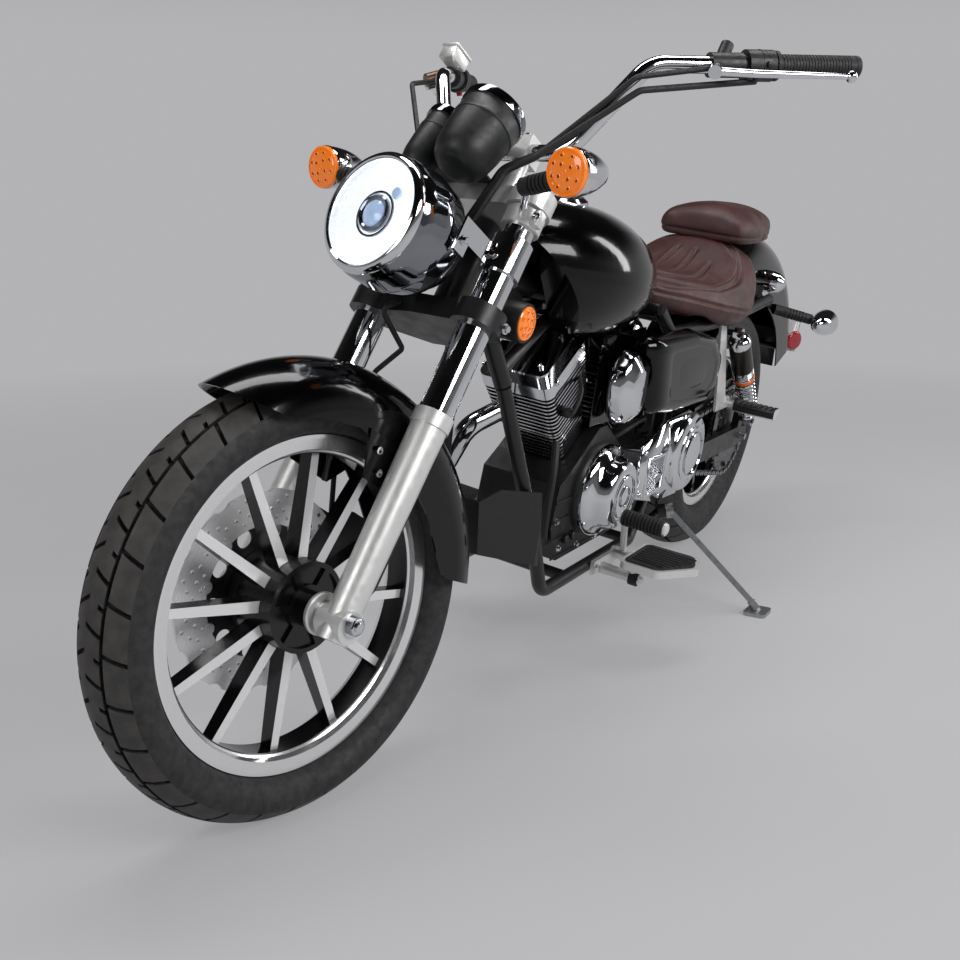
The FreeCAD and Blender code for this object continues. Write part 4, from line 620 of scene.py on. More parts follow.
def tyre_form(outer, half, crown, rim_r, rim_half, depth, chevron, columns):
    """Carcass spun about the axle, with the tread's blocks extruded from it."""
    bead_y, lip = rim_half - 3.0, rim_r + 15.0
    centre_r, floor_r = outer - crown, crown - depth
    edge_y = half * 0.93
    edge_r = centre_r + math.sqrt(crown ** 2 - edge_y ** 2)
    scale = edge_y / TREAD_BANDS[-1]
    wall = arc_points((bead_y, lip), (half, (edge_r + lip) / 2), (edge_y, edge_r), 9)
    side = [(lip - 14.6, bead_y, 0), (lip, bead_y, 0)]
    side += [(r, y, 0) for y, r in wall]
    side.append((edge_r, edge_y, 0))
    rows = [(r, -y, turn) for r, y, turn in side]
    for y in [-b * scale for b in reversed(TREAD_BANDS)] + [b * scale for b in TREAD_BANDS[1:]]:
        slope = math.asin(y / crown)
        rows.append((centre_r + floor_r * math.cos(slope), floor_r * math.sin(slope),
                     chevron * abs(y) / outer))
    rows += reversed(side)
    bm = bmesh.new()
    verts = [bm.verts.new((r * math.cos(t), r * math.sin(t), y)) for r, y, t in rows]
    edges = [bm.edges.new(pair) for pair in zip(verts, verts[1:] + verts[:1])]
    bmesh.ops.spin(bm, geom=verts + edges, cent=(0, 0, 0), axis=(0, 0, 1), angle=math.tau,
                   steps=columns, use_merge=True)
    bmesh.ops.remove_doubles(bm, verts=bm.verts, dist=1e-3)
    high = []
    for face in bm.faces:
        middle = face.calc_center_median()
        slope = math.asin(max(-1, min(1, middle.z / floor_r)))
        off_floor = abs(middle.to_2d().length - (centre_r + floor_r * math.cos(slope)))
        if abs(middle.z) > edge_y * 0.985 or off_floor > 1.2:
            continue
        width = abs(middle.z) / scale * crown / floor_r
        turn = math.atan2(middle.y, middle.x) - chevron * abs(middle.z) / outer
        column = int(math.floor((turn % math.tau) / (math.tau / columns) + 0.02))
        if middle.z < 0:
            column += TREAD_PITCH // 2
        if block_at(sum(width > b for b in TREAD_BANDS) - 1, column % TREAD_PITCH):
            high.append(face)
    for v in new_verts(bmesh.ops.extrude_face_region(bm, geom=high)):
        flat = v.co.to_2d()
        arm = Vector((flat.length - centre_r, v.co.z))
        arm *= (arm.length + depth) / arm.length
        flat *= (centre_r + arm.x) / flat.length
        v.co = (flat.x, flat.y, arm.y)
    for face in bm.faces:
        middle = face.calc_center_median()
        arm = Vector((middle.to_2d().length - centre_r, middle.z))
        if arm.x > 0 and arm.length > crown - depth * 0.4 and abs(middle.z) < edge_y:
            face.material_index = 1
    return bm


class CRUISER_OT_tyres(Make):
    """Mould both tyres with their block tread"""
    bl_idname = "cruiser.tyres"
    bl_label = "Tyres"

    def execute(self, context):
        sizes = context.scene.cruiser_tyres
        worn = Finish("tread rubber, scuffed and dusty", "#45423F", 0.6)
        worn.patches(18, "#2C2A29", "#3C3936", 4.0).grain(0.9, 0.05)
        rows = (
            # name, frame, outer, half, crown, rim radius, rim half, columns
            ("front", FRONT_WHEEL, FRONT_TYRE_R, 54.5, 62.0, 228.6, 33.0, 300),
            ("rear", REAR_WHEEL, REAR_TYRE_R, 73.0, 84.0, 190.5, 46.0, 280),
        )
        for name, place, outer, half, crown, rim_r, rim_half, columns in rows:
            bm = tyre_form(outer, half, crown, rim_r, rim_half, sizes.tread_depth, sizes.chevron, columns)
            finish_piece(name + "_tyre_tread", bm, place, name + "_wheel", "tyre", "tyre", worn,
                         replaces=(name + "_tyre",), sharp=28)
        return {"FINISHED"}


# ------------------------------------------------------------------ wheels and discs
def cut_form(bm, cutters):
    """Takes the cutters' shape away from bm."""
    for part in (bm, cutters):
        bmesh.ops.recalc_face_normals(part, faces=part.faces)
    blank, tool = shown("blank", mesh_from(bm, "blank")), shown("cutters", mesh_from(cutters, "cutters"))
    change = blank.modifiers.new("cut", "BOOLEAN")
    change.operation = "DIFFERENCE"
    change.solver = "EXACT"
    change.use_self = True
    change.object = tool
    settle(blank)
    cut = form_from(blank.data)
    for data in (blank.data, tool.data):
        bpy.data.meshes.remove(data)
    return cut


def drilled_disc(inner, outer, low, high, petals, scalloped, hole_r, holes):
    """Friction ring drilled at (radius, share of a petal), its rim scalloped, cut from a turned blank."""
    cutters = bmesh.new()
    length = high - low + 8
    for i in range(petals):
        cuts = [(outer + 15, 0, 20, 24)] if scalloped else []
        cuts += [(r, share, hole_r, 10) for r, share in holes]
        for r, share, size, steps in cuts:
            turn = turn_about(math.tau * (i + share) / petals)
            put(cutters, round_bar(length, size, steps), turn @ at(0, r, low - 4))
    return cut_form(spun(tube_rows(inner, outer, low, high), 144), cutters)


class CRUISER_OT_wheel_trim(Make):
    """Drill the brake discs and add the hubs' seals, spacers, buttons and axle ends"""
    bl_idname = "cruiser.wheel_trim"
    bl_label = "Wheel trim"

    def execute(self, context):
        holes = ((141, 0.5), (131, 0.3), (131, 0.7), (121, 0.15), (119, 0.5), (121, 0.85),
                 (109, 0.32), (109, 0.68))
        bm = drilled_disc(98, 150, -64, -59, 12, True, 3.2, holes)
        windows = bmesh.new()
        for turn in ring_of(10, 0.5):
            put(windows, round_bar(12, 13, 20), turn @ at(0, 88, -66))
        put(bm, cut_form(spun(tube_rows(58, 100, -62.5, -59.6), 96), windows), None, 1)
        put(bm, spun([(26.4, -59), (62, -59), (64, -57), (64, -38.4), (26.4, -38.4)], 64, 1))
        for turn in ring_of(10):
            place = turn @ at(0, 100, 0)
            put(bm, spun([(0, -58.2), (8.5, -58.2), (9.5, -59.2), (9.5, -64.3), (8.2, -65), (5, -65),
                          (4.6, -64), (0, -64)], 20), place)
            put(bm, spun([(0, -57.2), (5.5, -57.2), (6, -58.2), (0, -58.2)], 16), place)
        finish_piece("front_disc_drilled", bm, FRONT_WHEEL, "front_wheel", "steel",
                     disc_steel(FRONT_WHEEL, "ground stainless disc, drilled, front"), "frame_black",
                     replaces=("front_disc",))
        holes = ((110, 0.5), (100, 0.25), (100, 0.75), (90, 0.5), (90, 0.0))
        bm = drilled_disc(70, 120, -80, -75, 12, False, 3.4, holes)
        put(bm, spun([(24.4, -79), (76, -79), (76, -76), (66, -70), (60, -45.4), (24.4, -45.4)], 64, 1))
        for turn in ring_of(6):
            put(bm, hex_bolt(6, 5), turn @ at(0, 64, -79) @ turn_about(math.pi, "X"))
        finish_piece("rear_disc_drilled", bm, REAR_WHEEL, "rear_wheel", "steel",
                     disc_steel(REAR_WHEEL, "ground stainless disc, drilled, rear"), "frame_black",
                     replaces=("rear_disc",))
        # seal rings on both sides of the front hub, and a spacer on its left
        bm = spun([(16, 64), (30, 64), (31, 66), (31, 70), (29, 72), (16, 72)], 48)
        put(bm, spun(tube_rows(9, 18, 70, 79), 32, 1))
        put(bm, spun(tube_rows(16, 30, -65, -69), 48))
        finish_piece("front_hub_seals", bm, FRONT_WHEEL, "front_wheel", "steel", "cast_alloy", "rubber")
        # axle ends outside the fork's lugs
        bm = bmesh.new()
        put(bm, hex_bolt(13, 10), at(CLAMP_OFFSET, 129.2, 0) @ OUTWARD)
        put(bm, round_bar(8, 7, 20), at(CLAMP_OFFSET, 136, 0) @ OUTWARD)
        put(bm, hex_bolt(9, 8), at(CLAMP_OFFSET, -129.2, 0) @ INWARD)
        finish_piece("front_axle_nuts", bm, FORK, "steering", "chrome")
        valve = [(0, 0), (4.5, 0), (4.5, 6), (3.2, 8), (3.2, 26), (4.0, 27), (4.0, 36), (3, 38), (0, 38)]
        for name, place, r in (("front", FRONT_WHEEL, 214), ("rear", REAR_WHEEL, 176)):
            finish_piece(name + "_valve", spun(valve, 14), place @ turn_about(0.28) @ at(0, r, 10) @ INWARD,
                         name + "_wheel", "rubber")
        return {"FINISHED"}


# ------------------------------------------------------------------ lamps
CHROME, AMBER, WELL, STALK, CLAMP = range(5)      # a signal lamp's materials in order


def led_lens(r):
    """Domed lens of radius r seated on Z = 0, with rows of small lamp wells."""
    bm = spun([(0, -2), (r - 1, -2), (r, 0), (r - 0.5, 3), (r - 3, 5), (r * 0.6, 7.6), (0, 9)], 48, AMBER)
    put(bm, spun([(r - 3.2, 4), (r - 0.2, 3), (r + 0.2, 4.6), (r - 1.4, 6.2), (r - 3.6, 6)], 48, AMBER))
    for ring_r, count in ((0, 1), (r * 0.35, 4), (r * 0.68, 8)):
        for turn in ring_of(count, 0.35):
            place = turn @ at(0, ring_r, 9 - 3.4 * (ring_r / r) ** 2 - 0.6)
            put(bm, spun([(2.3, -1), (3.9, -1), (3.9, 0.9), (2.9, 1.3), (2.3, 0.6)], 14, AMBER), place)
            put(bm, spun([(0, -1), (2.4, -1), (2.4, 0.35), (0, 0.35)], 12, WELL), place)
    return bm


def signal_lamp(centre, axis):
    """Chrome bullet with its amber lens."""
    place = looking(centre, axis)
    bm = bmesh.new()
    put(bm, spun([(0, -84), (5, -83.6), (11, -80), (20, -66), (26, -50), (30, -35), (32.6, -18), (33.6, -6),
                  (34, -2), (33.4, 0.5), (0, 0.5)], 56, CHROME), place)
    return put(bm, led_lens(32.4), place @ at(0, 0, 0.5))


class CRUISER_OT_lamps(Make):
    """Make the headlamp's inside, the turn signals and the side lamps"""
    bl_idname = "cruiser.lamps"
    bl_label = "Lamps"

    def execute(self, context):
        lit = Finish("vacuum-metallised reflector, lit", "#F4F7FA", 0.12, 0.6, Emission_Strength=1.05)
        facets = lit.noise(9, 1.0)
        glint = lit.blend(lit.span(facets, 0.35, 0.65), "#FFFFFF", "#F6FAFF")
        lit.set("Emission Color", glint).bump(facets, 0.6)
        bulb = Finish("lit projector lens, moulded glass", "#AFC4DC", 0.06, Coat_Weight=1.0,
                      Emission_Color=linear("#B8CCE6"), Emission_Strength=0.55).grain(30, 0.05, 1.0)
        dip = math.radians(-11.5)
        lamp = FORK @ looking((214, 0, 527), (math.cos(dip), 0, math.sin(dip)))
        bm = spun([(0, -9.4), (30, -9.4), (46, -7.2), (62, -3.0), (74, 1.6), (78.2, 2.2), (78.2, -9.6),
                   (0, -9.8)], 72)
        put(bm, spun([(20, -9.2), (27.5, -9.2), (27.5, -3.2), (25, -1.2), (22, -2.2), (20, -4)], 48, 2))
        put(bm, spun([(0, -8.8), (20.5, -8.8), (19, -3.5), (12, 0.6), (0, 2.0)], 40, 1))
        put(bm, spun(tube_rows(31, 34, -9.2, -6.4), 48, 2))
        put(bm, spun([(0, -9.0), (9, -9.0), (8, -5.4), (0, -4.6)], 24, 1), at(34, 30, 3.0))
        finish_piece("headlamp_inside", bm, lamp, "steering", "clear_lens", lit, bulb, dark_chrome(),
                     replaces=("headlamp_lens",))
        bm = spun([(0, 11.4), (30, 10.4), (58, 6.8), (76, 1.6), (79.0, 0.2), (79.0, 2.4), (76, 3.4),
                   (58, 8.8), (30, 12.2), (0, 13.2)], 72)
        finish_piece("headlamp_glass", bm, lamp, "steering", "clear_lens", replaces=("headlamp_lens",))
        bm = spun([(79.2, -3), (89.5, -8), (90, -5), (88.6, 1.5), (85.5, 4.6), (81, 5.6), (79.2, 4.2)], 96)
        finish_piece("headlamp_ring", bm, lamp, "steering", "chrome")
        # turn signals on ribbed stalks; the front ones are clamped round the fork legs
        well = Finish("shadowed lamp well, amber", "#7A360A", 0.35)
        bm = signal_lamp((143, 240, 650), (0.82, 0, -0.57))
        stalk = [(0, 0), (13.2, 0), (13.2, 14)] + ribs(5, 15, 7.2, 14, 11.6, 4.2, 4.8, 6.6)
        stalk += [(13.4, 52), (13.4, 61), (0, 61)]
        put(bm, spun(stalk, 28, STALK), between((118, 152, 642), (129, 212, 648)))
        put(bm, spun([(0, 0), (6, 0), (6, 60), (8.5, 62), (8.5, 72), (0, 72)], 24),
            between((60, 118, 636), (120, 160, 643)))
        put(bm, spun([(24.3, 622), (29.2, 622), (30, 623), (30, 649), (29.2, 650), (24.3, 650)], 48, CLAMP),
            at(CLAMP_OFFSET, LEG_Y, 0))
        put(bm, box_form(16, 12, 24, 1.5, CLAMP), at(CLAMP_OFFSET + 8, LEG_Y + 33, 636))
        put(bm, hex_bolt(5, 5), at(CLAMP_OFFSET + 16, LEG_Y + 34, 636) @ turn_about(math.pi / 2, "Y"))
        finish_piece("front_turn_signals", mirror_copy(bm), FORK, "steering", "amber_lens",
                     "chrome", "amber_lens", well, "rubber", "cast_alloy", replaces=("front_signals",))
        bm = signal_lamp((-285, 202, 594), (-1, 0, 0))
        stalk = [(0, 0), (13.5, 0), (13.5, 30), (14, 31)] + ribs(6, 32, 8.5, 14, 11.6, 5, 5.7, 7.8)
        stalk += [(13.4, 84), (13.4, 101), (0, 101)]
        put(bm, spun(stalk, 28, STALK), between((-205, 84.6, 612), (-258, 170, 597)))
        finish_piece("rear_turn_signals", mirror_copy(bm), BIKE, "chassis", "amber_lens",
                     "chrome", "amber_lens", well, "rubber", replaces=("rear_signals",))
        # side lamps on the neck
        neck = BIKE.inverted() @ joint_place("steering")
        cup = looking((neck.x - 87, 22.4, neck.z - 77), (0, 1, 0))
        bm = bmesh.new()
        put(bm, spun([(0, 0), (31, 0), (33, 3), (33, 47), (31.6, 51), (29, 51), (28.4, 46), (0, 46)], 48,
                     STALK), cup)
        put(bm, led_lens(27.6), cup @ at(0, 0, 47))
        finish_piece("neck_side_lamps", mirror_copy(bm), BIKE, "chassis", "black_plastic",
                     "chrome", "amber_lens", well, "black_plastic", replaces=("neck_lamps",))
        return {"FINISHED"}


# ------------------------------------------------------------------ leather
SEAT_ROWS = (
    # x, bottom, top, half width
    (630, 676, 756, 82), (520, 655, 742, 120), (400, 632, 728, 158), (280, 618, 748, 170),
    (200, 640, 779, 150), (160, 690, 779, 120))


def seat_row(x):
    """Bottom, top and half width of the seat at x."""
    x = min(max(x, SEAT_ROWS[-1][0]), SEAT_ROWS[0][0])
    for a, b in zip(SEAT_ROWS, SEAT_ROWS[1:]):
        if x >= b[0]:
            return Vector(a[1:]).lerp(Vector(b[1:]), (a[0] - x) / (a[0] - b[0]))


def panel_half(x):
    """Half width of the seat's quilted top panel."""
    width = seat_row(max(x, 290))[2] * 0.80
    if x < 330:
        width *= math.sqrt(max(0.0, 1 - ((330 - x) / 136.0) ** 2))
    return width


class LeatherSizes(bpy.types.PropertyGroup):
    channel_depth: bpy.props.FloatProperty(name="Channel depth", default=5.5, min=0.0, max=10.0,
                                           description="Depth of the sewn channels, mm")
    swell: bpy.props.FloatProperty(name="Swell", description="Most that the padding may stand out, mm",
                                   default=7.0, min=0.0, max=20.0)


def settle(obj):
    """Takes the modifiers' result as the mesh."""
    bpy.context.view_layer.update()
    mesh = bpy.data.meshes.new_from_object(obj.evaluated_get(bpy.context.evaluated_depsgraph_get()))
    obj.modifiers.clear()
    old = obj.data
    obj.data = mesh
    bpy.data.meshes.remove(old)


def swell(obj, floor_z, cap):
    """Cloth blown up from inside by at most cap; points below floor_z are held by the pan."""
    start = [v.co.copy() for v in obj.data.vertices]
    up = BIKE.inverted().row[2].copy()
    held = obj.vertex_groups.new(name="held")
    held.add([i for i, co in enumerate(start) if up.dot(Vector((*co, 1.0))) < floor_z], 1.0, "REPLACE")
    cloth = obj.modifiers.new("pad", "CLOTH")
    cloth.settings.use_pressure = True
    cloth.settings.uniform_pressure_force = 4.0
    cloth.settings.vertex_group_mass = "held"
    cloth.settings.effector_weights.gravity = 0.0
    cloth.point_cache.frame_start = 1
    cloth.point_cache.frame_end = 20
    for number in range(1, 21):
        bpy.context.scene.frame_set(number)
    settle(obj)
    bpy.context.scene.frame_set(1)
    for v, old in zip(obj.data.vertices, start):
        move = v.co - old
        if move.length > cap * MM:
            v.co = old + move * (cap * MM / move.length)


def stuffed(name, voxel, shrink, cap, floor_z):
    """Copy of a soft solid, shrunk, swollen by cloth and smoothed."""
    bm = node_copy(name)
    bmesh.ops.recalc_face_normals(bm, faces=bm.faces)
    bm.normal_update()
    for v in bm.verts:
        v.co -= v.normal * shrink * MM
    obj = shown(name + "_leather", mesh_from(bm, name + "_pad"))
    grid = obj.modifiers.new("grid", "REMESH")
    grid.mode = "VOXEL"
    grid.voxel_size = voxel * MM
    settle(obj)
    swell(obj, floor_z, cap)
    bm = form_from(obj.data)
    for _ in range(4):
        bmesh.ops.smooth_vert(bm, verts=bm.verts, factor=0.5, use_axis_x=True, use_axis_y=True,
                              use_axis_z=True)
    bm.to_mesh(obj.data)
    bm.free()
    sub = obj.modifiers.new("finer", "SUBSURF")
    sub.levels = sub.render_levels = 1
    settle(obj)
    return obj


def press(obj, depth_at):
    """Pushes each point in along its normal by depth_at(point, normal) in the machine's frame, mm."""
    inverse = BIKE.inverted()
    turn = inverse.to_3x3()
    moves = []
    for v in obj.data.vertices:
        normal = (turn @ v.normal).normalized()
        moves.append(v.co - v.normal * (depth_at(inverse @ v.co, normal) * MM))
    for v, co in zip(obj.data.vertices, moves):
        v.co = co


def groove(distance, width):
    return math.exp(-(distance / width) ** 2)


def welt(distance, width):
    """A sewn valley between two raised welts."""
    return groove(distance, width) - 0.42 * groove(distance - width * 2.2, width) - 0.42 * groove(
        distance + width * 2.2, width)


def seat_relief(depth):
    """The seat's sunk outline, its four channels and the seam of its skirt; it rises in the middle."""
    def at_point(p, n):
        low = seat_row(p.x)[0]
        amount = lift = 0.0
        if n.z > 0.1:
            lift = -24.0 * n.z * math.exp(-((p.x - 250) / 105) ** 2) * max(0.0, 1 - (p.y / 190) ** 2)
        if n.z > 0.25:
            edge = panel_half(p.x)
            slope = (panel_half(p.x + 3) - panel_half(p.x - 3)) / 6.0
            if p.x > 195:
                amount += welt(abs(abs(p.y) - edge) / math.sqrt(1 + slope * slope), 3.8)
            for share, end in ((-0.66, 300), (-0.24, 262), (0.24, 262), (0.66, 300)):
                bow = share * (1 - 0.35 * ((560 - p.x) / 300) ** 2)
                if p.x > end:
                    amount += welt(abs(p.y - bow * edge), 3.8) * min(1.0, (p.x - end) / 25)
            if abs(p.y) < edge and p.x > 200:
                amount += 0.25
        if abs(n.z) < 0.75:
            amount += 0.6 * welt(abs(p.z - (low + 34 + 8 * math.sin((p.x - 160) / 470 * math.pi))), 3.0)
        return depth * amount + lift
    return at_point


def pillion_seam(z):
    return 66 + 0.16 * (z - 780)


def pillion_relief(depth):
    """The pad's cross seam and the seam round its skirt."""
    def at_point(p, n):
        amount = 0.8 * groove(abs(p.x - pillion_seam(p.z)), 4.0)
        if abs(n.z) < 0.7:
            amount = max(amount, 0.4 * groove(abs(p.z - 806), 3.0))
        return depth * amount
    return at_point


def skin_of(obj):
    return BVHTree.FromPolygons([v.co for v in obj.data.vertices], [p.vertices for p in obj.data.polygons])


def stitches(skin, name, path, gap, thread):
    """Row of thread stitches on the leather's skin along path, a list of (point, outward direction)."""
    bm = bmesh.new()
    last = None
    for point, out in path:
        out = (BIKE.to_3x3() @ out).normalized()
        spot, normal = skin.ray_cast(BIKE @ point + out * 0.06, -out, 0.2)[:2]
        if spot is None:
            last = None
            continue
        step = (spot - last[0]).length if last else 0.0
        if last and step < gap * MM:
            continue
        if last and step < gap * 3 * MM:
            a = last[0].lerp(spot, 0.18) + last[1] * 0.0004
            b = last[0].lerp(spot, 0.82) + normal * 0.0004
            part = bmesh.new()
            bmesh.ops.create_cone(part, cap_ends=True, segments=6, radius1=0.00055, radius2=0.00055,
                                  depth=(b - a).length)
            put(bm, part, at((a + b) / 2) @ (b - a).to_track_quat("Z", "Y").to_matrix().to_4x4())
        last = (spot, normal)
    return finish_piece(name, bm, Matrix(), "chassis", "brown_leather", thread)


class CRUISER_OT_leather(Make):
    """Stuff the seat and the pillion pad, and sew their channels"""
    bl_idname = "cruiser.leather"
    bl_label = "Seat and pillion"

    def execute(self, context):
        sizes = context.scene.cruiser_leather
        skins = {}
        for node, voxel, relief, floor_z in (
                ("seat", 5.5, seat_relief, 668),
                ("pillion_pad", 5.0, pillion_relief, 800)):
            obj = stuffed(node, voxel, 4.0, sizes.swell, floor_z)
            press(obj, relief(sizes.channel_depth))
            for polygon in obj.data.polygons:
                polygon.use_smooth = True
            give(obj, finish_for("brown_leather"))
            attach(obj, "chassis")
            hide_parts(node)
            skins[node] = skin_of(obj)
        thread = Finish("waxed polyester thread", "#8A6A5E", 0.6).grain(0.6, 0.1, 1.0)
        for index, (side, offset) in enumerate(((1, -7.0), (1, 7.0), (-1, -7.0), (-1, 7.0))):
            line = []
            for i in range(900):
                x = 628 - i * 0.48
                edge = panel_half(x)
                if edge >= 12:
                    line.append((Vector((x, side * (edge + offset), 740)), Vector((0, side * 0.25, 1))))
            stitches(skins["seat"], "seat_stitches_%d" % index, line, 7.0, thread)
        # piping over the pad along its cross seam
        points = []
        for i in range(41):
            t = math.pi * i / 40
            y, rise = 120 * math.cos(t), 60 * math.sin(t)
            x = pillion_seam(812 + rise)
            start = BIKE @ Vector((x, y * 1.3, 812 + rise * 1.3))
            aim = (BIKE @ Vector((x, 0, 815)) - start).normalized()
            spot = skins["pillion_pad"].ray_cast(start, aim, 0.3)[0]
            if spot is not None:
                points.append(BIKE.inverted() @ (spot - aim * 0.0002))
        finish_piece("pillion_piping", tube_form(points, 2.6, smooth=4), BIKE, "chassis", "rubber")
        return {"FINISHED"}


# ------------------------------------------------------------------ running gear
def sorted_node(name, slot, finishes, choose):
    """A chassis node's own shape as a piece whose faces take their finish by where they are."""
    bm = node_copy(name)
    bmesh.ops.transform(bm, matrix=BIKE.inverted(), verts=bm.verts)
    bm.normal_update()
    for face in bm.faces:
        face.material_index = choose(face.calc_center_median(), face.normal)
    finish_piece(name + "_dressed", bm, BIKE, "chassis", slot, *finishes, replaces=(name,), sharp=30.0,
                 outward=False)


def coil(radius, wire, height, turns, steps=20):
    """Spring wire wound up Z."""
    bm = bmesh.new()
    bmesh.ops.create_circle(bm, segments=10, radius=wire)
    bmesh.ops.rotate(bm, verts=bm.verts, cent=(0, 0, 0), matrix=Matrix.Rotation(math.pi / 2, 3, "X"))
    bmesh.ops.translate(bm, verts=bm.verts, vec=(radius, 0, 0))
    bmesh.ops.spin(bm, geom=list(bm.verts) + list(bm.edges), cent=(0, 0, 0), axis=(0, 0, 1),
                   dvec=(0, 0, height / (turns * steps)), angle=math.tau * turns, steps=turns * steps)
    bmesh.ops.holes_fill(bm, edges=open_edges(bm), sides=0)
    return painted(bm, 0)


class CRUISER_OT_shocks(Make):
    """Build the rear shock absorbers with their sleeves, springs and preload rings"""
    bl_idname = "cruiser.shocks"
    bl_label = "Rear shocks"

    def execute(self, context):
        top, low = Vector((235, 140, 600)), Vector((15, 140, REAR_TYRE_R + 47))
        length = (low - top).length
        eye = tube_rows(7.3, 14, -9, 9)
        groups = ribs(5, 121, 4.6, 24.5, 23, 2.6, 3.2, 4.4)
        parts = (
            # profile from the upper eye down, steps, finish
            ([(0, 12), (13, 12), (20, 16), (25, 22), (26, 26), (26, 34), (24, 36), (0, 36)], 40, 0),
            ([(0, 35), (25.4, 35), (25.4, 118), (23, 120), (0, 120)], 40, 1),
            ([(0, 119)] + groups + [(25, 145), (25, 150), (0, 150)], 40, 0),
            ([(0, 149), (26, 149), (26, 157), (0, 157)], 40, 3),
            ([(0, 150), (14, 150), (14, length - 60), (0, length - 60)], 24, 2),
            ([(0, length - 38), (25, length - 38), (25, length - 32), (18, length - 27), (11, length - 12),
              (0, length - 12)], 40, 0),
        )
        bm = bmesh.new()
        put(bm, spun(eye, 32), at(top) @ INWARD)
        put(bm, spun(eye, 32, 2), at(low) @ INWARD)
        line = between(top, low)
        for profile, steps, colour in parts:
            put(bm, spun(profile, steps, colour), line)
        put(bm, coil(20.5, 4.0, length - 200, 9), line @ at(0, 0, 161))
        sleeve = Finish("painted steel sleeve, dark bronze", "#2A2520", 0.28, 0.6).grain(12, 0.02, 1.0)
        orange = Finish("anodised aluminium, orange", "#F0761A", 0.3, 0.3).grain(2, 0.02, 1.0)
        finish_piece("rear_shock_units", mirror_copy(bm), BIKE, "chassis", "chrome",
                     "chrome", sleeve, "steel", orange, replaces=("rear_shocks",))
        return {"FINISHED"}


def chain_line(rear, rear_r, front, front_r):
    """Length of the chain's line round both sprockets, and the function that gives its point at s."""
    gap = front - rear
    base = math.atan2(gap.z, gap.x)
    side = math.acos((rear_r - front_r) / gap.length)
    run = math.sqrt(gap.length ** 2 - (rear_r - front_r) ** 2)
    around_front = front_r * 2 * side
    total = 2 * run + around_front + rear_r * (math.tau - 2 * side)

    def on(centre, r, turn):
        return centre + Vector((math.cos(turn), 0, math.sin(turn))) * r

    def point(s):
        s %= total
        if s < run:
            return on(rear, rear_r, base + side).lerp(on(front, front_r, base + side), s / run)
        s -= run
        if s < around_front:
            return on(front, front_r, base + side - s / front_r)
        s -= around_front
        if s < run:
            return on(front, front_r, base - side).lerp(on(rear, rear_r, base - side), s / run)
        return on(rear, rear_r, base - side - (s - run) / rear_r)

    return total, point


def link_plate():
    """Oval side plate lying on Z = 0."""
    plate = bmesh.new()
    bmesh.ops.create_circle(plate, cap_ends=True, segments=10, radius=6.2)
    bmesh.ops.scale(plate, vec=(2.05, 1.0, 1.0), verts=plate.verts)
    top = new_verts(bmesh.ops.extrude_face_region(plate, geom=list(plate.faces)))
    bmesh.ops.translate(plate, vec=(0, 0, 1.6), verts=top)
    return plate


class CRUISER_OT_chain(Make):
    """Lay the drive chain's links and cut the sprocket's teeth"""
    bl_idname = "cruiser.chain"
    bl_label = "Drive chain"

    def execute(self, context):
        hub, shaft = Vector((0, CHAIN_Y, REAR_TYRE_R)), Vector((480, CHAIN_Y, 345))
        total, point = chain_line(hub, 106.0, shaft, 38.0)
        count = round(total / 15.875 / 2) * 2
        pitch = total / count
        bm = bmesh.new()
        for i in range(count):
            a, b = point(i * pitch), point((i + 1) * pitch)
            turn = turn_about(-math.atan2((b - a).z, (b - a).x), "Y")
            out = 6.2 if i % 2 else 4.0
            for y in (-out, out):
                put(bm, link_plate(), at((a + b) / 2 + Vector((0, y, 0))) @ turn @ INWARD)
            roller = bmesh.new()
            bmesh.ops.create_cone(roller, cap_ends=True, segments=8, radius1=4.2, radius2=4.2, depth=13.6)
            put(bm, roller, at(a) @ INWARD, 1)
        finish_piece("drive_chain_links", bm, BIKE, "chassis", "chain_steel", "chain_steel", "steel",
                     replaces=("drive_chain",))
        bm = bmesh.new()
        for turn in ring_of(42):
            put(bm, box_form(7, 9, 5, 1.2, segments=1), turn @ at(0, 102.5, CHAIN_Y))
        for turn in ring_of(6):
            put(bm, hex_bolt(6.5, 6), turn @ at(0, 84, CHAIN_Y + 3))
        finish_piece("rear_sprocket_teeth", bm, REAR_WHEEL, "rear_wheel", "chain_steel")
        return {"FINISHED"}


# ------------------------------------------------------------------ instruments and bars
BAR_END = Vector((-181, 391, 1085))
BAR_INWARD = (Vector((40, 206, 915)) - BAR_END).normalized()


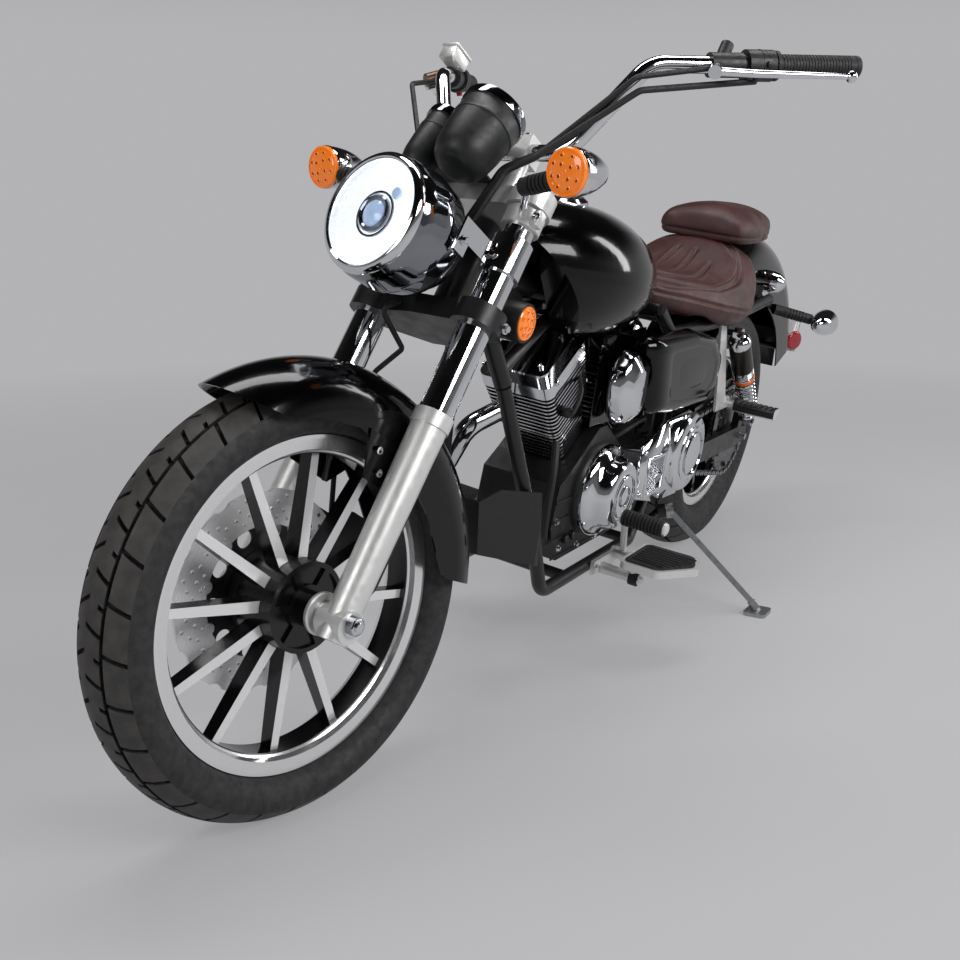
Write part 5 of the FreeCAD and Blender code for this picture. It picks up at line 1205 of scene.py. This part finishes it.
def pod(r, depth):
    """A gauge's cup, knurled ring and dial with plain marks; its glass is at Z = 0."""
    cup = [(r * x, -depth * z) for x, z in (
        (0, 1), (0.4, 1), (0.62, 0.975), (0.8, 0.9), (0.9, 0.78), (0.97, 0.55), (0.99, 0.36))]
    cup += [(r + 0.8, -depth * 0.35), (r + 0.8, -depth * 0.32), (r, -depth * 0.31), (r, -15),
            (r - 4, -15), (r - 4, -4), (0, -4)]
    bm = spun(cup, 64)
    knurl = spun([(r - 1, -15), (r + 2.2, -15), (r + 3, -14), (r + 3, -3), (r + 2, 0), (r - 2, 0),
                  (r - 3.4, -3.5), (r - 3.4, -15)], 96, 1)
    for v in knurl.verts:
        turn = round(math.atan2(v.co.y, v.co.x) / (math.tau / 96))
        if v.co.to_2d().length > r + 2.5 and turn % 2:
            v.co.x *= 1 - 1.1 / r
            v.co.y *= 1 - 1.1 / r
    put(bm, knurl)
    for i in range(15):
        put(bm, box_form(1.6, 2.6, depth * 0.36, 0.6, segments=1),
            turn_about(math.radians(-52 + i * 5.2)) @ at(r * 0.985, 0, -depth * 0.56))
    for i in range(13):
        put(bm, box_form(0.9, r * 0.14, 0.4, 0.1, 2, 1),
            turn_about(-math.radians(-130 + i * 260 / 12)) @ at(0, r * 0.8, -3.7))
    put(bm, box_form(1.1, r * 0.72, 0.6, 0.2, 2, 1), turn_about(2.1) @ at(0, r * 0.3, -3.2))
    return put(bm, spun([(0, -3.8), (4, -3.8), (3.6, -2.6), (0, -2.4)], 20))


class CRUISER_OT_bars(Make):
    """Dress the instruments, grips, switches, reservoir and clamps"""
    bl_idname = "cruiser.bars"
    bl_label = "Bars and instruments"

    def execute(self, context):
        white = Finish("printed dial marks, white", "#E4E6E8", 0.5).grain(2, 0.01, 1.0)
        axis = Vector((-0.23, 0, 0.97)).normalized()
        bm = bmesh.new()
        for centre, r, depth in (((108, 26, 778), 50, 124), ((106, -61, 766), 31, 112)):
            put(bm, pod(r, depth), looking(centre, axis))
        put(bm, box_form(52, 110, 4, 1.0), at(CLAMP_OFFSET + 46, -15, 685))
        finish_piece("instrument_pods", bm, FORK, "steering", "black_plastic",
                     "black_plastic", dark_chrome(), white, replaces=("gauge_pods",))
        place = between(BAR_END - BAR_INWARD * 3, BAR_END + BAR_INWARD * 140)
        rows = [(12.9, 0.5), (16.2, 0.5), (17, 1.5)] + ribs(23, 8, 5.2, 17, 16.0, 3.2, 3.7, 4.8)
        bm = bmesh.new()
        put(bm, spun(rows + [(17, 130), (22, 132), (22, 138), (12.9, 138)], 36), place)
        put(bm, spun([(0, -10), (12, -10), (16, -8), (17, -5), (17, 0.5), (0, 0.5)], 36), place)
        finish_piece("ribbed_grips", mirror_copy(bm), FORK, "steering", "rubber", replaces=("bar_grips",))
        # switch housings: seam, buttons; brake reservoir at the right
        bm = bmesh.new()
        place = between(BAR_END + BAR_INWARD * 138, BAR_END + BAR_INWARD * 182)
        put(bm, spun([(22.9, 20.6), (23.5, 20.6), (23.5, 22.2), (22.9, 22.2)], 40), place)
        put(bm, box_form(14, 7, 10, 1.6), place @ turn_about(0.4) @ at(0, -24.5, 30))
        put(bm, box_form(9, 6, 8, 1.6), place @ turn_about(1.2) @ at(0, -24, 14))
        mirror_copy(bm)
        red = Finish("moulded switch rocker, red", "#A3161C", 0.4).grain(2, 0.02, 1.0)
        put(bm, box_form(10, 7, 7, 1.6, 1),
            Matrix.Scale(-1, 4, (0, 1, 0)) @ place @ turn_about(-0.5) @ at(0, -25, 12))
        finish_piece("switch_details", bm, FORK, "steering", "black_plastic", "black_plastic", red)
        bronze = Finish("anodised aluminium, bronze", "#6B5342", 0.34, 0.8).grain(3, 0.03)
        root = BAR_END + BAR_INWARD * 224
        root.y = -root.y
        bm = bmesh.new()
        put(bm, box_form(44, 34, 24, 3.5), at(root + Vector((26, 14, 18))))
        put(bm, box_form(47, 37, 5, 1.6), at(root + Vector((26, 14, 32))))
        for dx, dy in ((-16, -12), (16, -12), (-16, 12), (16, 12)):
            put(bm, socket_bolt(2.6, 2), at(root + Vector((26 + dx, 14 + dy, 34.4))))
        put(bm, round_bar(52, 12, 24, 1), looking(root + Vector((8, 4, 2)), (0.55, -0.4, -0.735)))
        finish_piece("brake_reservoir", bm, FORK, "steering", "cast_alloy", "cast_alloy", bronze)
        # plated castings again with their curves shaded as one surface
        for name, body, finish in (("headlamp_shell", "steering", dark_chrome()),
                                   ("engine_covers", "chassis", "chrome")):
            finish_piece(name + "_plated", node_copy(name), NODES[name].matrix_world.copy(), body, "chrome",
                         finish, replaces=(name,), sharp=40, outward=False)
        # clamps: bolts on the risers, yokes and lamp brackets, cap nut on the stem
        bm = bmesh.new()
        for y in (-45, 45):
            for x in (20, 44):
                put(bm, socket_bolt(5, 5), at(x, y, 783))
        put(bm, spun([(0, 0), (17, 0), (19, 2), (19, 7), (14, 11), (6, 13), (0, 13.5)], 6), at(0, 0, 683))
        for sign, out in SIDES:
            put(bm, spun([(0, 0), (21, 0), (21, 3), (17, 5), (10, 5.6), (0, 5.6)], 40),
                at(CLAMP_OFFSET, sign * LEG_Y, 690))
            put(bm, hex_bolt(6, 6), at(CLAMP_OFFSET - 20, sign * (LEG_Y + 36), 471) @ out)
            put(bm, hex_bolt(5.5, 6), at(130, sign * 103.4, 543) @ out)
            put(bm, hex_bolt(5, 5), at(CLAMP_OFFSET + 30, sign * 108, 560) @ turn_about(math.pi / 2, "Y"))
        finish_piece("clamp_bolts", bm, FORK, "steering", "chrome")
        bm = bmesh.new()
        for sign, out in SIDES:
            for x, z in ((20, 205), (66, 205), (4, 228), (84, 232)):
                put(bm, socket_bolt(6, 4.5), at(x, sign * 79.2, z) @ out)
        finish_piece("fender_bolts", bm, FORK, "steering", "chrome")
        return {"FINISHED"}


# ------------------------------------------------------------------ engine and frame details
class CRUISER_OT_engine(Make):
    """Add the engine's fasteners, rings, lines and plug caps"""
    bl_idname = "cruiser.engine"
    bl_label = "Engine details"

    def execute(self, context):
        bm = bmesh.new()
        for r, h in ((44, 150.2), (22, 150.6)):
            put(bm, spun([(r - 2.6, 0), (r, 0), (r, 1.8), (r - 1, 2.4), (r - 2.6, 1.8)], 56),
                at(CRANK + Vector((0, h - 0.6, 0))) @ OUTWARD)
        for i in range(7):
            turn = math.tau * (i + 0.3) / 7
            put(bm, socket_bolt(4.6, 5),
                at(CRANK + Vector((88 * math.cos(turn), 101.6, 88 * math.sin(turn)))) @ OUTWARD)
        for y, r in ((157.4, 50), (150.4, 62)):
            put(bm, spun([(r - 2, -6), (r, -6), (r, 0.6), (r - 1, 1.2), (r - 2, 0.6)], 56),
                at(436, y, 358) @ OUTWARD)
        for x, z in ((362, 400), (362, 300), (552, 436), (552, 282), (660, 396), (660, 308), (470, 442)):
            put(bm, socket_bolt(5, 5), at(x, 131.6, z) @ OUTWARD)
        for lean in (1, -1):
            barrel = at(CRANK) @ turn_about(lean * CYLINDER_LEAN, "Y")
            for x in (-46.8, 46.8):
                for sign, out in SIDES:
                    put(bm, socket_bolt(5.5, 4), barrel @ at(x, sign * 73.2, 318) @ out)
            for x in (-40, 40):
                for y in (-42, 42):
                    put(bm, socket_bolt(5.5, 5), barrel @ at(x, y, 340))
        for x, z in ((580, 232), (660, 232), (740, 226), (820, 228), (900, 240), (925, 300), (560, 300),
                     (545, 380)):
            for sign, out in reversed(SIDES):
                put(bm, hex_bolt(5, 6), at(x, sign * 82, z) @ out)
        finish_piece("engine_fasteners", bm, BIKE, "chassis", "chrome")
        # plug caps with their leads, coolant and breather lines
        bm = bmesh.new()
        for sign in (1, -1):
            barrel = at(CRANK) @ turn_about(sign * CYLINDER_LEAN, "Y")
            a, b = barrel @ Vector((sign * 30, 60, 232)), barrel @ Vector((sign * 44, 92, 246))
            put(bm, spun([(0, 0), (8, 0), (10, 8), (10, 26), (7, 30), (0, 30)], 20), between(a, b))
            put(bm, tube_form([b, b + Vector((-sign * 20, 8, 34)), b + Vector((-sign * 60, -30, 60)),
                               Vector((780, 30, 600)), Vector((776, 12, 640))], 4.0))
        for line, r in (
                (((905, 60, 250), (950, 74, 262), (962, 78, 330), (952, 76, 420), (930, 60, 450)), 7.0),
                (((560, 70, 420), (590, 96, 452), (650, 98, 452), (690, 84, 430), (700, 60, 410)), 5.5)):
            put(bm, tube_form([Vector(p) for p in line], r))
        finish_piece("engine_lines", bm, BIKE, "chassis", "rubber")
        bm = bmesh.new()
        for z in (262, 300, 338):
            put(bm, box_form(6, 3, 64, 1.2), at(905, 83, z) @ turn_about(math.pi / 2, "Y"))
        put(bm, box_form(380, 3.0, 5, 1.2), at(735, 82.6, 224))
        for x in (880, 850, 700, 672):
            put(bm, spun([(0, 0), (9, 0), (9, 10), (7, 12), (0, 12)], 20), at(x, 80, 256) @ OUTWARD)
        finish_piece("crankcase_ribs", bm, BIKE, "chassis", "engine_black")
        # domed side covers over the flat panels
        outline = [(748, 638), (700, 482), (600, 468), (376, 460), (322, 496), (318, 560), (384, 610),
                   (520, 636)]
        middle = Vector((520, 550))
        cover = bmesh.new()
        face = [cover.faces.new([cover.verts.new((x, 117.0, z)) for x, z in outline])]
        for share, y in ((0.997, 121), (0.97, 130), (0.9, 139), (0.78, 145.5), (0.6, 150), (0.38, 152.2),
                         (0.14, 153)):
            grown = bmesh.ops.extrude_face_region(cover, geom=face)
            face = [g for g in grown["geom"] if isinstance(g, bmesh.types.BMFace)]
            ring = sorted(new_verts(grown), key=lambda v: math.atan2(v.co.z - middle.y, v.co.x - middle.x))
            rim = sorted(outline, key=lambda q: math.atan2(q[1] - middle.y, q[0] - middle.x))
            for v, corner in zip(ring, rim):
                x, z = middle.lerp(Vector(corner), share)
                v.co = (x, y, z)
        put(cover, box_form(6, 40, 150, 1.0), at(722, 100, 560) @ turn_about(math.radians(-17), "Y"))
        put(cover, box_form(196, 3, 170, 1.2), at(740, 78.5, 552))
        obj = finish_piece("side_cover_domes", mirror_copy(cover), BIKE, "chassis", "gloss_black_paint",
                           sharp=60)
        sub = obj.modifiers.new("rounder", "SUBSURF")
        sub.levels = sub.render_levels = 2
        bm = bmesh.new()
        put(bm, socket_bolt(6, 3), at(650, 124, 560) @ OUTWARD)
        put(bm, socket_bolt(6, 4), at(742, 80, 492) @ OUTWARD)
        finish_piece("cover_screws", mirror_copy(bm), BIKE, "chassis", "chrome")
        return {"FINISHED"}


class CRUISER_OT_controls(Make):
    """Dress the foot controls, pegs, tail lamp and number plate"""
    bl_idname = "cruiser.controls"
    bl_label = "Controls and tail"

    def execute(self, context):
        sorted_node("passenger_pegs", "rubber", ("rubber", "cast_alloy"),
                    lambda p, n: 0 if p.z > 419 and 148 < abs(p.y) < 247.6 and p.x < 204 else 1)
        # rubber sleeve on the shift peg, mats on the foot boards
        rows = [(0, 0), (15, 0)] + ribs(11, 2, 7, 16.4, 13.6, 3.6, 4.6, 6.2)
        bm = bmesh.new()
        put(bm, spun(rows + [(15.6, 79), (15.6, 84), (0, 84)], 32), at(800, 164, 304) @ OUTWARD)
        put(bm, spun([(0, 0), (12, 0), (13, 2), (12, 5), (8, 7), (0, 7.6)], 32, 1),
            at(800, 248, 304) @ OUTWARD)
        finish_piece("shift_peg_rubber", bm, BIKE, "chassis", "rubber", "rubber", "cast_alloy")
        bm = bmesh.new()
        for sign in (1, -1):
            mat = bmesh.new()
            corners = ((704, 188), (824, 188), (820, 258), (747, 305), (698, 286))
            mat.faces.new([mat.verts.new((x, sign * y, 228)) for x, y in corners])
            bmesh.ops.bevel(mat, geom=mat.verts[:], offset=12, affect="VERTICES", segments=4, profile=0.5,
                            material=-1)
            lifted = new_verts(bmesh.ops.extrude_face_region(mat, geom=mat.faces[:]))
            bmesh.ops.translate(mat, vec=(0, 0, 2.6), verts=lifted)
            put(bm, mat)
            for i in range(8):
                x = 718 + 12 * i
                far = 296 - max(0.0, x - 748) * 0.62
                put(bm, box_form(5, far - 196, 3, 1.0, segments=1), at(x, sign * (196 + far) / 2, 231.4))
        finish_piece("foot_board_mats", bm, BIKE, "chassis", "rubber")
        bm = bmesh.new()
        for x, y, z in ((770, 206, 178), (790, 121.6, 180), (692, 121.6, 184), (700, 143.4, 190)):
            put(bm, hex_bolt(8, 7), at(x, y, z) @ OUTWARD)
        put(bm, spun([(0, 0), (15, 0), (15, 16), (0, 16)], 32, 1), at(770, 188, 178) @ OUTWARD)
        finish_piece("foot_control_bolts", bm, BIKE, "chassis", "chrome", "chrome", "rubber")
        sorted_node("tail_lamp", "red_lens", ("red_lens", "chrome"),
                    lambda p, n: 1 if (p - REAR_FENDER_C).length < REAR_FENDER_R + 9 else 0)
        plate = Finish("embossed aluminium plate, blank white", "#D9DADB", 0.4).grain(4, 0.01, 1.0)
        sorted_node("plate_bracket", "frame_black", ("frame_black", plate),
                    lambda p, n: 1 if p.x < -494 and abs(n.x) > 0.5 and p.z > 467 else 0)
        sorted_node("rear_reflectors", "red_lens", ("red_lens",), lambda p, n: 0)
        return {"FINISHED"}


# ------------------------------------------------------------------ stage
CAMERA_PLACE = Vector((2.0256, 0.8770, 0.8585))
CAMERA_YAW = math.radians(211.102)
CAMERA_PITCH = math.radians(-13.764)
CAMERA_LENS = 42.23
BACKDROP_GREY = "#B3B3B5"


def aimed(obj, place, direction):
    """Puts a lamp or camera at place, looking along direction."""
    obj.location = place
    obj.rotation_mode = "QUATERNION"
    obj.rotation_quaternion = direction.to_track_quat("-Z", "Y")
    return obj


def soft_step(tree, value, **span):
    return add(tree, "ShaderNodeMapRange", {"interpolation_type": "SMOOTHSTEP"}, Value=value,
               **span).outputs["Result"]


def higher(tree, a, b):
    return add(tree, "ShaderNodeMath", {"operation": "MAXIMUM"}, i0=a, i1=b).outputs[0]


def seen_share(tree):
    """1 for rays that look at the backdrop, straight, in a mirror or through glass."""
    path = add(tree, "ShaderNodeLightPath").outputs
    first = higher(tree, path["Is Camera Ray"], path["Is Glossy Ray"])
    return higher(tree, first, path["Is Transmission Ray"])


class CRUISER_OT_stage(Make):
    """Add the pale floor and backdrop, the soft lamps and the camera"""
    bl_idname = "cruiser.stage"
    bl_label = "Stage"

    def execute(self, context):
        scene = context.scene
        scene.view_settings.view_transform = "Standard"
        level = math.cos(CAMERA_PITCH)
        look = Vector((math.cos(CAMERA_YAW) * level, math.sin(CAMERA_YAW) * level, math.sin(CAMERA_PITCH)))
        scene.camera = aimed(shown("camera", bpy.data.cameras.new("camera")), CAMERA_PLACE, look)
        lens = scene.camera.data
        lens.lens = CAMERA_LENS
        lens.sensor_width = 36.0
        lens.clip_start = 0.05
        lens.clip_end = 200.0

        grey = Finish("painted studio floor", BACKDROP_GREY, 0.9)
        grey.patches(900, "#B1B1B3", "#B6B6B8", 2.0, 0.3)
        even = add(grey.tree, "ShaderNodeEmission", Color=linear(BACKDROP_GREY), Strength=1.0)
        share = grey.span(grey.vector_math("LENGTH", grey.place), 1.2, 4.5, 0.55, 1.0)
        share = grey.math("MULTIPLY", seen_share(grey.tree), share)
        mix = add(grey.tree, "ShaderNodeMixShader", i0=share, i1=grey.bsdf.outputs[0], i2=even.outputs[0])
        grey.tree.links.new(mix.outputs[0], grey.tree.nodes["Material Output"].inputs["Surface"])
        bm = bmesh.new()
        bmesh.ops.create_circle(bm, cap_ends=True, segments=96, radius=60.0)
        floor = shown("floor", mesh_from(bm, "floor"))
        give(floor, grey)

        world = bpy.data.worlds.new("studio")
        world.use_nodes = True
        scene.world = world
        tree = world.node_tree
        back = tree.nodes["Background"]
        back.inputs["Color"].default_value = linear("#D2D3D6")
        back.inputs["Strength"].default_value = 0.34
        # the studio's wall is as grey as the floor, and its ceiling is dark
        ray = add(tree, "ShaderNodeTexCoord").outputs["Generated"]
        height = add(tree, "ShaderNodeSeparateXYZ", Vector=ray).outputs["Z"]
        wall = soft_step(tree, height, From_Min=0.12, From_Max=0.42, To_Min=1.0, To_Max=0.03)
        # the wall behind the machine is lit, the room before it is dimmer
        toward = add(tree, "ShaderNodeVectorMath", {"operation": "DOT_PRODUCT"}, i0=ray,
                     i1=(-0.856, -0.517, 0.0)).outputs["Value"]
        lit = soft_step(tree, toward, From_Min=-0.5, From_Max=0.45, To_Min=0.3, To_Max=1.0)
        near = higher(tree, lit, add(tree, "ShaderNodeLightPath").outputs["Is Camera Ray"])
        glow = add(tree, "ShaderNodeMath", {"operation": "MULTIPLY"}, i0=wall, i1=near).outputs[0]
        plain = add(tree, "ShaderNodeBackground", Color=linear(BACKDROP_GREY), Strength=glow)
        mix = add(tree, "ShaderNodeMixShader", i0=seen_share(tree), i1=back.outputs[0], i2=plain.outputs[0])
        tree.links.new(mix.outputs[0], tree.nodes["World Output"].inputs["Surface"])

        output = scene.cruiser.lamp_output
        for name, place, width, height, power in (
                ("key", (0.9, 3.2, 2.3), 2.6, 1.0, 92.0),
                ("fill", (3.4, -0.6, 1.9), 1.4, 1.4, 26.0),
                ("strip", (-2.4, 2.2, 1.9), 0.5, 2.2, 30.0),
                ("top", (-0.1, -0.2, 3.4), 3.2, 0.8, 62.0)):
            lamp = bpy.data.lights.new(name, "AREA")
            lamp.shape = "RECTANGLE"
            lamp.size = width
            lamp.size_y = height
            lamp.energy = power * output
            aimed(shown(name, lamp), place, Vector((0.1, 0, 0.45)) - Vector(place))
        return {"FINISHED"}


class CRUISER_PT_panel(bpy.types.Panel):
    bl_label = "Cruiser"
    bl_space_type = "VIEW_3D"
    bl_region_type = "UI"
    bl_category = "Cruiser"

    def draw(self, context):
        for cls in OPERATORS:
            self.layout.operator(cls.bl_idname)
        for owner, group in GROUPS:
            for key in group.__annotations__:
                self.layout.prop(getattr(context.scene, owner), key)


OPERATORS = (
    CRUISER_OT_finishes,
    CRUISER_OT_tyres,
    CRUISER_OT_wheel_trim,
    CRUISER_OT_lamps,
    CRUISER_OT_leather,
    CRUISER_OT_shocks,
    CRUISER_OT_chain,
    CRUISER_OT_bars,
    CRUISER_OT_engine,
    CRUISER_OT_controls,
    CRUISER_OT_stage,
)


GROUPS = (
    ("cruiser", CruiserSizes),
    ("cruiser_tyres", TyreSizes),
    ("cruiser_leather", LeatherSizes),
)


def register():
    for key, group in GROUPS:
        bpy.utils.register_class(group)
        setattr(bpy.types.Scene, key, bpy.props.PointerProperty(type=group))
    for cls in OPERATORS:
        bpy.utils.register_class(cls)
    bpy.utils.register_class(CRUISER_PT_panel)


def unregister():
    bpy.utils.unregister_class(CRUISER_PT_panel)
    for cls in reversed(OPERATORS):
        bpy.utils.unregister_class(cls)
    for key, group in reversed(GROUPS):
        delattr(bpy.types.Scene, key)
        bpy.utils.unregister_class(group)


def main():
    register()
    for cls in OPERATORS:
        group, name = cls.bl_idname.split(".")
        getattr(getattr(bpy.ops, group), name)()


if __name__ == "__main__":
    main()
